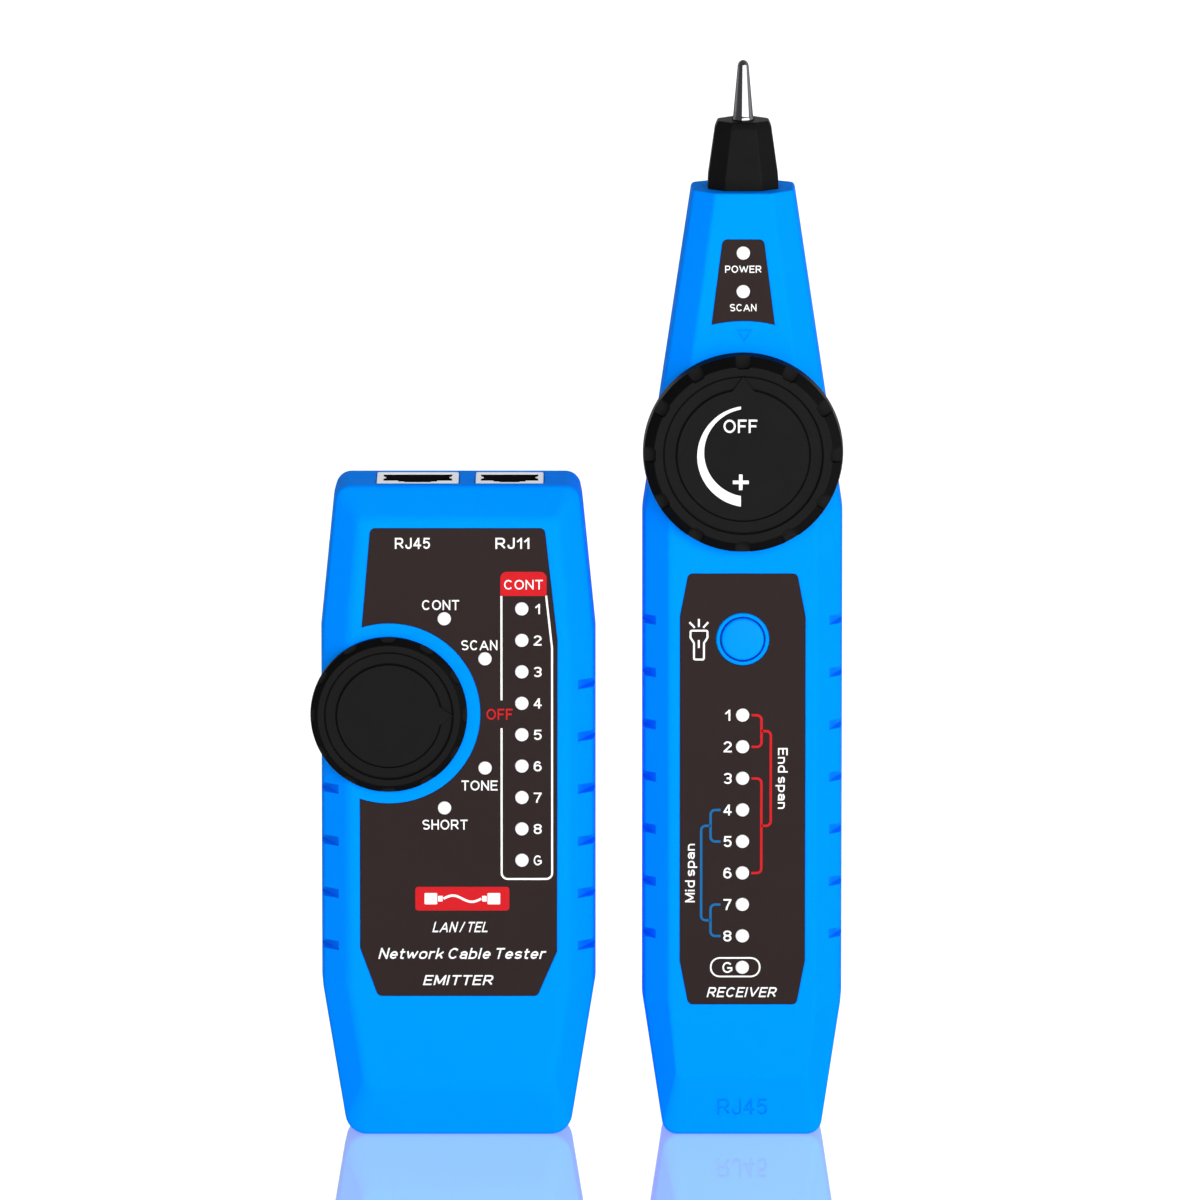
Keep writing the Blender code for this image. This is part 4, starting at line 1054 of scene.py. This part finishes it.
def add_text(mesh, words, centre, width, height, face=HALF_DEPTH, slant=0.0, turn=0.0, stroke=BOLD,
             sink=INK_SINK, rise=INK_RISE):
    """Adds solid lettering: centre is the middle of its capitals, width is its inked width."""
    left = 0.0
    glyphs = []
    for letter in words:
        if letter == " ":
            left += WORD_GAP - LETTER_GAP
            continue
        glyphs.append(glyph_shapes(letter, left, stroke))
        left += GLYPHS[letter][0] + LETTER_GAP
    across = width / (left - LETTER_GAP)
    turning = Matrix.Rotation(turn, 2)
    for shapes in glyphs:
        placed = []
        for shape in shapes:
            flat = [Vector((point.x * across - width / 2 + (point.y - 0.5) * slant * height,
                            (point.y - 0.5) * height))
                    for point in shape]
            placed.append([turning @ point + Vector(centre) for point in flat])
        add_ink(mesh, placed, face, sink, rise)
    return mesh


def add_line(mesh, points, width, radius=0.0, closed=False, sink=INK_SINK, rise=INK_RISE):
    """Adds a solid line of constant width to the front face, along a path whose corners can be rounded."""
    path = rounded_path(points, [radius] * len(points), closed)
    return add_ink(mesh, band(path, width, closed), HALF_DEPTH, sink, rise)


def add_patch(mesh, outline, face=HALF_DEPTH, rise=INK_RISE):
    return plate(outline, face - INK_SINK, face + rise, mesh)


def cross_corners(arm, half):
    """A plus sign's corners: how far its arms reach, and half of their width."""
    return [(arm, -half), (arm, half), (half, half), (half, arm), (-half, arm), (-half, half),
            (-arm, half), (-arm, -half), (-half, -half), (-half, -arm), (half, -arm), (half, -half)]


def print_piece(name, mesh, unit, look, body):
    settle(make_object(name, mesh, unit.origin), look, body=body)


def header_outline(left, low, right, high, radius):
    """A box whose two upper corners are rounded."""
    top = rounded_corner(Vector((right, low)), Vector((right, high)), Vector((left, high)), radius, 6)
    top += rounded_corner(Vector((right, high)), Vector((left, high)), Vector((left, low)), radius, 6)
    return [Vector((left, low)), Vector((right, low)), *top]


def add_cable_icon(mesh, left, right, z):
    """A patch cable between two plugs: the plain mark on the red plate."""
    wave = []
    steps = 24
    for step in range(steps + 1):
        t = step / steps
        wave.append((left + 3.3 + (right - left - 6.6) * t, z + 0.55 * math.sin(2 * math.pi * t)))
    add_line(mesh, wave, 0.42, rise=ON_PLATE)
    for x, sign in ((left, 1), (right, -1)):
        for start, end, half, corner in ((0.0, 2.2, 1.0, 0.15), (2.35, 3.15, 0.5, 0.1)):
            near, far = sorted((x + sign * start, x + sign * end))
            add_patch(mesh, rectangle(near, z - half, far, z + half, corner, 3), rise=ON_PLATE)


def print_emitter():
    white = bmesh.new()
    for words, x, z, width, height in (
        ("RJ45", -7.88, 105.9, 6.1, 1.95), ("RJ11", 9.51, 105.9, 5.9, 1.95), ("CONT", -3.0, 95.0, 6.47, 1.78),
        ("SCAN", 3.74, 87.9, 6.3, 1.78), ("TONE", 3.74, 63.05, 6.3, 1.78), ("SHORT", -2.29, 56.1, 7.87, 1.78),
    ):
        add_text(white, words, (x, z), width, height)
    for digit, (x, z) in zip(LAMP_MARKS, EMITTER_LAMPS):
        add_text(white, digit, (13.88, z), 0.85 if digit == "1" else 1.4, 1.8)
    for words, x, z, width, height in (
        ("Network Cable Tester", 0.77, 33.2, 29.0, 1.95), ("EMITTER", 0.07, 28.45, 12.06, 1.78),
        ("LAN / TEL", 0.5, 37.9, 9.6, 1.85),
    ):
        add_text(white, words, (x, z), width, height, slant=SLANT)
    add_line(white, [(7.59, 96.7), (7.59, 78.15)], 0.35)
    add_line(white, [(7.59, 73.2), (7.59, 46.45), (16.4, 46.45), (16.4, 87.4), (15.37, 96.7)], 0.35, 1.05)
    add_text(white, "CONT", (11.43, 98.6), 6.75, 1.7, stroke=REGULAR, rise=ON_PLATE)
    left, low, right, high = PLATE_BOX
    add_cable_icon(white, left + 1.6, right - 1.6, (low + high) / 2)
    print_piece("emitter_print_white", white, EMITTER, ink_white, "emitter_case")
    red = bmesh.new()
    add_text(red, "OFF", (7.24, 75.67), 4.55, 1.95)
    add_patch(red, header_outline(7.41, 96.6, 15.45, 100.87, 1.1))
    add_patch(red, rectangle(*PLATE_BOX, 0.5, 5))
    print_piece("emitter_print_red", red, EMITTER, ink_red, "emitter_case")


def add_torch_icon(mesh):
    """A torch that shines upwards: three rays, its outline and its switch."""
    stroke = 0.34
    middle = -7.64
    for start, end in (
        ((middle, 92.56), (middle, 91.14)), ((-9.28, 91.96), (-8.36, 91.0)), ((-6.01, 91.96), (-6.87, 91.0)),
        ((middle, 88.83), (middle, 87.41)),
    ):
        add_line(mesh, [start, end], stroke)
    outline = [(-9.09, 90.47), (-9.09, 89.24), (-8.48, 88.27), (-8.48, 85.37), (-6.75, 85.37), (-6.75, 88.27),
               (-6.14, 89.24), (-6.14, 90.47)]
    add_line(mesh, outline, stroke, 0.25, closed=True)


def add_bracket(mesh, start, reach, high, low):
    add_line(mesh, [(start, high), (reach, high), (reach, low), (start, low)], 0.42, 0.8)


def print_span(name, look, pairs, start, reach, end):
    """Brackets that join two pairs of numbered lamps, and a third one that joins the two brackets."""
    heights = [[RECEIVER_LAMPS[number - 1][1] for number in pair] for pair in pairs]
    mesh = bmesh.new()
    for high, low in heights:
        add_bracket(mesh, start, reach, high, low)
    add_bracket(mesh, reach, end, *[(high + low) / 2 for high, low in heights])
    print_piece(name, mesh, RECEIVER, look, "receiver_case")


def print_receiver():
    white = bmesh.new()
    add_text(white, "POWER", (0.0, 154.15), 6.3, 1.26)
    add_text(white, "SCAN", (0.0, 147.4), 4.6, 1.28)
    add_text(white, "RECEIVER", (0.0, 26.3), 12.0, 1.78, slant=SLANT)
    for digit, (_, z) in zip(LAMP_MARKS, RECEIVER_LAMPS):
        width = {"1": 0.9, "G": 1.75}.get(digit, 1.43)
        add_text(white, digit, (-2.6, z), width, 1.95)
    add_line(white, [(-5.5, 29.1), (3.05, 29.1), (3.05, 32.4), (-5.5, 32.4)], 0.28, 1.55, closed=True)
    add_text(white, "End span", (7.02, 64.3), 10.8, 1.7, turn=-math.pi / 2)
    add_text(white, "Mid span", (-9.15, 47.5), 10.4, 1.7, turn=math.pi / 2)
    add_torch_icon(white)
    print_piece("receiver_print_white", white, RECEIVER, ink_white, "receiver_case")
    print_span("receiver_print_red", ink_red, ((1, 2), (3, 6)), 1.57, 3.30, 4.93)
    print_span("receiver_print_blue", ink_blue, ((4, 5), (7, 8)), -3.81, -5.56, -7.20)


# Knobs


def notch_outline(centre, turn, inner, width):
    """A finger notch seen from the front: open outwards, with two rounded inner corners."""
    middle = Vector(centre)
    along = Vector((math.cos(turn), math.sin(turn)))
    across = Vector((-along.y, along.x)) * width / 2
    far = inner + 6
    start, end = middle + along * far - across, middle + along * far + across
    first, second = middle + along * inner - across, middle + along * inner + across
    corner = width * 0.28
    return [
        start, *reversed(rounded_corner(second, first, start, corner, 5)),
        *reversed(rounded_corner(end, second, first, corner, 5)), end,
    ]


def cap_outline(centre, radius, reach, half_base, pointer_turn):
    """The knob's inner disc with its pointed tongue."""
    swing = math.asin(half_base / radius)
    round_part = arc(centre, radius, pointer_turn + swing, pointer_turn + 2 * math.pi - swing, 80)
    tip = Vector(centre) + Vector((math.cos(pointer_turn), math.sin(pointer_turn))) * reach
    return [*round_part, tip]


def paint_rim_shade(knob, centre, shoulder, low, high):
    """Paints shade as a deeper black on the rim, the walls of the finger notches and the sunken channel lines, but
    not on the notch floors.
    """
    knob.data.materials.append(rim_shade_black)
    for face in knob.data.polygons:
        radius = math.hypot(face.center.x / MM - centre[0], face.center.z / MM - centre[1])
        depth = -face.center.y / MM
        notch_floor = abs(face.normal.y) > 0.95 and depth < high
        if low < depth < high if radius < shoulder else not notch_floor:
            face.material_index = 1


def make_knob(unit, name, centre, radius, shoulder, channel, half_base, pointer_turn, notch):
    """A black dial: grip notches, a shallow channel, and a disc with a pointer across the channel."""
    cap_low, _ = unit.box(f"{name}_knob_cap")
    top = -cap_low.y - 0.03
    inner, outer = channel
    edge, rim, notch_inner, notch_floor = notch
    seat = top - 0.9
    floor = top - CHANNEL_DEPTH
    profile = rounded_profile(
        [(0, top - 1.9), (BORE_RADIUS, top - 1.9), (BORE_RADIUS, HUB_BACK), (HUB_RADIUS, HUB_BACK),
         (HUB_RADIUS, KNOB_BACK), (radius, KNOB_BACK), (radius - edge, rim), (shoulder, top),
         (outer + LINE_WIDTH, top), (outer + LINE_WIDTH, floor - 0.35), (outer, floor - 0.35), (outer, floor),
         (inner + LINE_WIDTH, floor), (inner + LINE_WIDTH, seat), (0, seat)],
        [0, 0, 0.3, 0, 0.35, 0.5, 0.45, 0.12, 0, 0, 0.05, 0.05, 0],
    )
    knob = make_object(f"{name}_dial", turned(centre, profile, 120), unit.origin)
    pockets = bmesh.new()
    for step in range(NOTCHES):
        turn = 2 * math.pi * step / NOTCHES
        outline = notch_outline(centre, turn, notch_inner, NOTCH_WIDTH)
        stack([(outline, notch_floor), (outline, top - 0.35), (grown(outline, 0.25), top + 0.3)], pockets)
    cut(knob, pockets)
    settle(knob, dial_black, f"{name}_knob")
    # Painted shade on the rim, the notch walls and the channel lines
    paint_rim_shade(knob, centre, shoulder, seat - 0.05, floor - 0.02)
    cap = cap_outline(centre, inner, outer + 0.25, half_base, pointer_turn)
    made = make_object(f"{name}_dial_cap", soft_plate(cap, seat + 0.02, top, 0.1), unit.origin)
    settle(made, dial_black, f"{name}_knob_cap")
    return top


def crescent_outline(centre):
    """The volume mark: the space between two circles, thin at OFF and broad at full volume."""
    x, z = centre
    outer_centre = (x + 0.92, z - 0.16)
    inner_centre = (x + 0.94, z + 0.50)
    cut_x = x - 0.4
    outer, inner = 8.90, 7.73
    outer_turn = math.acos((cut_x - outer_centre[0]) / outer)
    inner_turn = math.acos((cut_x - inner_centre[0]) / inner)
    outline = arc(outer_centre, outer, outer_turn, 2 * math.pi - outer_turn, 48)
    outline += reversed(arc(inner_centre, inner, inner_turn, 2 * math.pi - inner_turn, 48))
    return outline


def make_knobs():
    make_knob(EMITTER, "selector", (SELECTOR.x, SELECTOR.z), 13.7, 12.4, (9.0, 11.0), 1.7, 0.0,
              (0.1, 14.6, 12.75, 14.2))
    centre = (VOLUME.x, VOLUME.z)
    top = make_knob(RECEIVER, "volume", centre, 17.45, 15.5, (11.45, 13.65), 1.95, math.pi / 2,
                    (0.25, 16.6, 15.0, 15.9))
    white = bmesh.new()
    add_text(white, "OFF", (centre[0] - 0.5, centre[1] + 5.16), 5.87, 2.35, top)
    x, z = centre[0] - 0.42, centre[1] - 4.70
    add_patch(white, [Vector((x + px, z + pz)) for px, pz in cross_corners(1.38, 0.31)], top)
    add_patch(white, crescent_outline(centre), top)
    print_piece("volume_print", white, RECEIVER, ink_white, "volume")


# LEDs


def dome(radius, base, height, steps, quarter):
    """Sections of a dome, without its lowest and its tip: a quarter turn would take quarter steps."""
    turns = [math.pi / 2 * step / quarter for step in range(1, steps + 1)]
    return [(radius * math.cos(a), base + height * math.sin(a)) for a in turns]


def lens_profile(back):
    rise = dome(LENS_RADIUS, LENS_BASE, LENS_TOP - LENS_BASE, 5, 6)
    return [(0, back), (LENS_RADIUS, back), (LENS_RADIUS, LENS_BASE), *rise, (0, LENS_TOP)]


def make_lamps():
    for unit, nodes in ((EMITTER, MODE_LEDS), (RECEIVER, STATUS_LEDS)):
        for node in nodes:
            mesh = turned(unit.middle(node), lens_profile(9.7), 40)
            rod(unit.middle(node), LENS_RADIUS + 0.3, 9.6, 10.1, 40, mesh)
            lens = make_object(f"{node}_lens", mesh, unit.origin)
            settle(lens, lens_white, node, sharp=50)
    for unit, node, lamps in (
        (EMITTER, "emitter_light_guide", EMITTER_LAMPS), (RECEIVER, "receiver_light_guide", RECEIVER_LAMPS),
    ):
        low, high = unit.box(node)
        bar = soft_plate(rectangle(low.x, low.z, high.x, high.z, 0.6, 4), 9.6, 10.9, 0.3)
        guide = make_object(f"{node}_lenses", bar, unit.origin)
        pips = bmesh.new()
        for lamp in lamps:
            turned(lamp, lens_profile(10.4), 40, pips)
        settle(join(guide, pips), lens_white, node, sharp=50)


# Sockets


def socket_plan(width, latch, bump=0.0):
    """The plug's space in plan: a stepped latch slot at the front, and a small bump on either end wall."""
    half = width / 2
    step = -CAVITY_FRONT - (LATCH_FRONT - CAVITY_FRONT) * 0.6
    right = [(half, -CAVITY_FRONT), (half, -1.3), (half - bump, -0.2), (half, 0.9), (half, CAVITY_BACK)]
    left = [(-latch / 2, -CAVITY_FRONT), (-latch / 2, step), (LATCH_STEP - latch / 2, step),
            (LATCH_STEP - latch / 2, -LATCH_FRONT)]
    return [Vector(point) for point in [
        *right, *[(-x, y) for x, y in reversed(right)], *left, *[(-x, y) for x, y in reversed(left)],
    ]]


def make_socket(unit, node, name, cavity, latch, ways, inwards):
    """A white frame over a near-black sheet of painted shade that lines the cavity, with a comb of sprung contacts
    inside.
    """
    low, high = unit.box(node)
    x = (low.x + high.x) / 2
    mouth, floor = (high.z, low.z) if inwards < 0 else (low.z, high.z)

    def rings(outline, levels):
        return plan_rings(outline, [(spread, mouth + inwards * depth) for spread, depth in levels])

    outer = rectangle(low.x, low.y, high.x, high.y, 0.5, 4)
    depth = abs(mouth - floor)
    shell = rings(outer, ((0.0, depth), (0.0, 0.2), (-0.1, 0.05), (-0.2, 0.0)))
    body = make_object(f"{name}_body", add_prism(bmesh.new(), shell), unit.origin)
    frame_plan = [Vector((x + point.x, point.y)) for point in socket_plan(cavity, latch, 0.5)]
    cavity_plan = [Vector((x + point.x, point.y)) for point in socket_plan(cavity, latch, 0.01)]
    cut(body, add_prism(bmesh.new(), rings(frame_plan, ((0.0, -1.0), (0.0, 1.0)))))
    cut(body, add_prism(bmesh.new(), rings(cavity_plan, ((0.45, FRAME_DEPTH), (0.45, CAVITY_DEPTH + 0.5)))))
    settle(body, socket_white, node)
    # Painted shade: a near-black sheet lines the cavity's walls and floor behind the thin white frame
    wall = ((0.4, FRAME_DEPTH + 0.03), (0.02, FRAME_DEPTH + 0.03), (0.02, CAVITY_DEPTH), (0.4, CAVITY_DEPTH))
    shade_sheet = add_prism(bmesh.new(), rings(cavity_plan, wall), looped=True)
    add_prism(shade_sheet, rings(cavity_plan, ((0.4, CAVITY_DEPTH + 0.02), (0.4, CAVITY_DEPTH + 0.45))))
    shade_piece = make_object(f"{name}_liner", shade_sheet, unit.origin)
    settle(shade_piece, cavity_shade_black, body=BODY_OF[node])
    wires = bmesh.new()
    for way in range(ways):
        middle = x + CONTACT_PITCH * (way - (ways - 1) / 2)
        route = [(3.2, 12.3), (3.2, 11.5), (2.6, 10.6), (0.2, 5.2), (0.0, 4.2), (0.5, 3.4)]
        spring = []
        for (before_y, before), (y, depth) in zip([route[0], *route], route):
            slope = Vector((y - before_y, depth - before))
            across = Vector((1.0, 0.0)) if slope.length < 0.01 else Vector((-slope.y, slope.x)).normalized()
            across = across if across.x > 0 else -across
            spring.append([(middle + dx, y + across.x * dy, mouth + inwards * (depth + across.y * dy))
                           for dx, dy in ((-0.17, -0.13), (0.17, -0.13), (0.17, 0.13), (-0.17, 0.13))])
        add_prism(wires, spring)
    comb = make_object(f"{name}_wires", wires, unit.origin)
    settle(comb, gold, f"{node}_contacts")


def make_sockets():
    make_socket(EMITTER, "emitter_rj45_socket", "eight_way_socket", 12.0, 6.8, 8, -1)
    make_socket(EMITTER, "emitter_rj11_socket", "six_way_socket", 10.0, 5.6, 6, -1)
    make_socket(RECEIVER, "receiver_rj45_socket", "bottom_socket", 12.0, 6.8, 8, 1)


# Probe


def octagon(half_x, half_y, facet_x, facet_y, z):
    y = probe_y()
    corners = [(half_x, -facet_y), (half_x, facet_y), (facet_x, half_y), (-facet_x, half_y),
               (-half_x, facet_y), (-half_x, -facet_y), (-facet_x, -half_y), (facet_x, -half_y)]
    return [(x, y + depth, z) for x, depth in corners]


def make_probe():
    low, high = RECEIVER.box("receiver_nose")
    base, top = RECEIVER_TOP + 0.06, high.z
    rings = [octagon(6.15, 5.75, 3.2, 3.0, base), octagon(6.1, 5.7, 3.2, 3.0, base + 1.9),
             octagon(4.9, 4.7, 2.2, 2.1, top - 1.2), octagon(4.4, 4.2, 2.0, 1.9, top)]
    cone = add_prism(bmesh.new(), rings)
    edges = [edge for edge in cone.edges if max(vert.co.z for vert in edge.verts) > base + 0.1]
    bmesh.ops.bevel(cone, geom=edges, offset=0.25, segments=2, profile=0.5, affect="EDGES")
    nose = make_object("nose_cone", cone, RECEIVER.origin)
    join(nose, upright((0.0, probe_y()), [(3.6, low.z), (3.6, base + 1)]))
    bore = [(1.6, low.z - 1), (1.6, top - 0.6), (1.95, top - 0.6), (1.95, top + 1)]
    cut(nose, upright((0.0, probe_y()), bore))
    settle(nose, nose_black, "receiver_nose")
    low, high = RECEIVER.box("probe_tip")
    collar = top + 0.3
    sections = [(1.5, low.z), (1.5, top - 0.5), (1.85, top - 0.45), (1.9, top - 0.3), (1.9, collar),
                (1.8, collar + 0.25), (1.72, collar + 0.5)]
    steps = 10
    for step in range(1, steps + 1):
        share = step / steps
        sections.append((1.72 + (0.98 - 1.72) * share, collar + 0.5 + (high.z - 1.2 - collar - 0.5) * share))
    sections += dome(0.98, high.z - 1.2, 1.2, 7, 7.4)
    tip = make_object("probe_needle", upright((0.0, probe_y()), sections, 48), RECEIVER.origin)
    settle(tip, chrome, "probe_tip", sharp=50)


# Torch


def make_torch():
    top = -RECEIVER.box("torch_button")[0].y
    profile = rounded_profile(
        [(0, 10.3), (4.6, 10.3), (4.6, 10.9), (BUTTON_RADIUS, 10.9), (BUTTON_RADIUS, top - 0.1),
         (2.0, top - 0.02), (0, top)],
        [0, 0, 0, 0.5, 0],
    )
    button = make_object("torch_push_button", turned(TORCH_BUTTON, profile, 64), RECEIVER.origin)
    settle(button, button_blue, "torch_button", sharp=50)
    low, high = RECEIVER.box("torch_led")
    y = (low.y + high.y) / 2
    sections = [(1.5, low.z), (1.5, low.z + 0.5), (1.3, low.z + 0.6), (1.3, high.z - 1.4)]
    sections += dome(1.3, high.z - 1.4, 1.38, 6, 6.3)
    led = make_object("torch_lamp", upright((0.0, y), sections), RECEIVER.origin)
    settle(led, lens_white, "torch_led", sharp=50)


# Back: battery covers, screws, batteries


def make_door(unit, node, name):
    """A battery cover: rounded corners, a scooped thumb grip with three ridges, and a snap tab's line."""
    low, high = unit.box(node)
    outline = rectangle(low.x, low.z, high.x, high.z, 1.0, 5)
    softening = ((0.3, 0.0), (0.09, 0.09), (0.0, 0.3))
    edge = [(grown(outline, -inset), depth - high.y) for inset, depth in softening]
    panel = make_object(name, stack([*edge, (outline, -low.y)]), unit.origin)
    top = high.z - 6.0
    scoop = stack([(rectangle(-7.0, top - 4.2, 7.0, top + 2.4, 2.0, 6), -high.y + 0.55),
                   (rectangle(-7.5, top - 4.7, 7.5, top + 2.9, 2.3, 6), -high.y - 0.5)])
    cut(panel, scoop)
    ridges = bmesh.new()
    for step in range(3):
        z = top - 2.9 + 1.9 * step
        half = 5.2 - 0.6 * (step - 1) ** 2
        stack([(rectangle(-half, z - 0.45, half, z + 0.45, 0.4, 4), -high.y + 0.7),
               (rectangle(-half + 0.2, z - 0.22, half - 0.2, z + 0.22, 0.2, 4), -high.y + 0.08)], ridges)
    join(panel, ridges)
    foot = low.z + 3.4
    cut(panel, plate(rectangle(-9.0, foot - 0.16, 9.0, foot + 0.16, 0.1, 2), -high.y + 0.3, -high.y - 0.5))
    settle(panel, case_blue, node)


def make_screw(unit, node):
    """A pan-head screw with a cross recess, seen from the back."""
    low, high = unit.box(node)
    centre = unit.middle(node)
    top = -high.y
    head = (high.x - low.x) / 2
    shank = 1.1
    profile = rounded_profile(
        [(0, top), (head, top + 0.15), (head, top + 1.6), (shank, top + 1.6), (shank, -low.y - 1.0),
         (0, -low.y)],
        [0.7, 0.1, 0, 0],
    )
    screw = make_object(f"{node}_cross_head", turned(centre, profile, 32), unit.origin)
    recess = bmesh.new()
    x, z = centre
    cross = cross_corners(1.25, 0.27)
    wide = [Vector((x + px, z + pz)) for px, pz in cross]
    narrow = [Vector((x + px * 0.55, z + pz)) if abs(px) > abs(pz) else Vector((x + px, z + pz * 0.55))
              for px, pz in cross]
    stack([(wide, top - 0.6), (wide, top + 0.1), (narrow, top + 1.0)], recess)
    settle(cut(screw, recess), steel, node)


def make_battery(unit, node, snap_node, name):
    low, high = unit.box(node)
    levels = [(-0.9, low.z), (-0.35, low.z + 0.15), (-0.1, low.z + 0.5), (0.0, low.z + 1.0),
              (0.0, high.z - 1.0), (-0.1, high.z - 0.5), (-0.35, high.z - 0.15), (-0.9, high.z)]
    rings = plan_rings(rectangle(low.x, low.y, high.x, high.y, 2.6, 6), levels)
    battery = make_object(name, add_prism(bmesh.new(), rings), unit.origin)
    settle(battery, battery_jacket(f"{name}_jacket", "battery_jacket", low.z, high.z), node)
    low, high = unit.box(snap_node)
    levels = [(-0.2, low.z), (0.0, low.z + 0.3), (0.0, high.z - 1.4), (-0.5, high.z - 0.5), (-1.4, high.z)]
    rings = plan_rings(rectangle(low.x, low.y, high.x, high.y, 4.0, 6), levels)
    snap = make_object(f"{name}_clip", add_prism(bmesh.new(), rings), unit.origin)
    settle(snap, inner_black, snap_node)


def make_back():
    make_door(EMITTER, "emitter_battery_door", "emitter_cover")
    make_door(RECEIVER, "receiver_battery_door", "receiver_cover")
    for node in EMITTER_SCREWS:
        make_screw(EMITTER, node)
    for node in RECEIVER_SCREWS:
        make_screw(RECEIVER, node)
    make_battery(EMITTER, "emitter_battery", "emitter_battery_snap", "emitter_nine_volt")
    make_battery(RECEIVER, "receiver_battery", "receiver_battery_snap", "receiver_nine_volt")


# CAD nodes that keep their shape


def dress_inner_nodes():
    looks = {
        "emitter_main_board": board_green, "receiver_main_board": board_green, "selector_switch": inner_black,
        "volume_potentiometer": inner_black, "torch_switch": inner_black, "loudspeaker": steel,
        "torch_switch_plunger": socket_white, "selector_shaft": steel, "volume_shaft": steel,
        "nose_nut": steel, "probe_contact": gold,
    }
    for node, look in looks.items():
        data = frame["nodes"][node].data
        data.materials.clear()
        data.materials.append(look)


# Stage


def place(name, data):
    made = bpy.data.objects.new(name, data)
    bpy.context.scene.collection.objects.link(made)
    return made


CAMERA_LENS = 500.0
CAMERA_SENSOR = 36.0
VIEW_WIDTH = 0.2098
VIEW_ELEVATION = math.radians(10.0)
AIM = Vector((0.0041, 0.0025, 0.0936))
KEY_TURN = math.radians(11.0)
LIGHT_DISTANCE = 1.6
KEY_WIDTH = 1.7
KEY_HEIGHT = 0.9
KEY_POWER = 31.0
SHINE_TURN = math.radians(29.0)
SHINE_WIDTH = 2.8
SHINE_HEIGHT = 0.9
SHINE_POWER = 44.0
WORLD_FRONT = 0.22
FLOOR_SIZE = 12.0
FLOOR_GLOW = 0.26
WHITE = (1.0, 1.0, 1.0, 1.0)


def make_camera():
    camera = bpy.data.cameras.new("camera")
    camera.lens = CAMERA_LENS
    camera.sensor_width = CAMERA_SENSOR
    holder = place("camera", camera)
    back = Vector((0.0, -math.cos(VIEW_ELEVATION), math.sin(VIEW_ELEVATION)))
    holder.location = AIM + back * CAMERA_LENS * VIEW_WIDTH / CAMERA_SENSOR
    holder.rotation_mode = "QUATERNION"
    holder.rotation_quaternion = (-back).to_track_quat("-Z", "Y")
    camera.clip_start = 0.1
    camera.clip_end = 100.0
    bpy.context.scene.camera = holder


def make_soft_box(name, turn, width, height, power):
    light = bpy.data.lights.new(name, "AREA")
    light.shape = "RECTANGLE"
    light.size = width
    light.size_y = height
    light.energy = power
    holder = place(name, light)
    centre = Vector((math.sin(turn), -math.cos(turn), 0.0)) * LIGHT_DISTANCE
    holder.location = centre + Vector((0.0, 0.0, height / 2 + 0.01))
    holder.rotation_euler = (math.pi / 2, 0.0, turn)
    holder.visible_camera = False
    return holder


def make_lights():
    make_soft_box("key", KEY_TURN, KEY_WIDTH, KEY_HEIGHT, KEY_POWER).visible_glossy = False
    make_soft_box("shine", SHINE_TURN, SHINE_WIDTH, SHINE_HEIGHT, SHINE_POWER).visible_diffuse = False


def make_world():
    world = bpy.data.worlds.new("studio")
    bpy.context.scene.world = world
    world.use_nodes = True
    nodes, links = world.node_tree.nodes, world.node_tree.links
    direction = nodes.new("ShaderNodeTexCoord").outputs["Generated"]
    toward = nodes.new("ShaderNodeVectorMath")
    toward.operation = "DOT_PRODUCT"
    toward.inputs[1].default_value = (0.25, 0.96, -0.6)
    links.new(direction, toward.inputs[0])
    blend = nodes.new("ShaderNodeMapRange")
    blend.interpolation_type = "SMOOTHSTEP"
    fill(blend, {"From Min": -0.55, "From Max": 0.3, "To Min": WORLD_FRONT, "To Max": 1.0})
    links.new(toward.outputs["Value"], blend.inputs["Value"])
    links.new(blend.outputs["Result"], nodes["Background"].inputs["Strength"])
    fill(nodes["Background"], {"Color": WHITE})


def make_floor():
    mesh = bmesh.new()
    half = FLOOR_SIZE / 2
    square = ((-half, -half), (half, -half), (half, half), (-half, half))
    corners = [mesh.verts.new((x, y, 0.0)) for x, y in square]
    mesh.faces.new(corners)
    data = bpy.data.meshes.new("floor")
    mesh.to_mesh(data)
    mesh.free()
    floor = place("floor", data)
    look = Look("floor_gloss", metallic=0.85)
    look.colour(look.ramp(look.noise(3.0), (0.3, (0.93, 0.93, 0.93, 1.0)), (0.7, (0.94, 0.94, 0.94, 1.0))))
    look.roughness(look.span(look.noise(20.0), 0.03, 0.035))
    fill(look.shader, {"Emission Color": WHITE, "Emission Strength": FLOOR_GLOW})
    data.materials.append(look.material)


def make_stage():
    make_camera()
    make_lights()
    make_world()
    make_floor()
    bpy.context.scene.view_settings.view_transform = "Standard"


make_stage()
make_emitter_case()
make_receiver_case()
make_labels()
print_emitter()
print_receiver()
make_knobs()
make_lamps()
make_sockets()
make_probe()
make_torch()
make_torch_window()
make_back()
dress_inner_nodes()
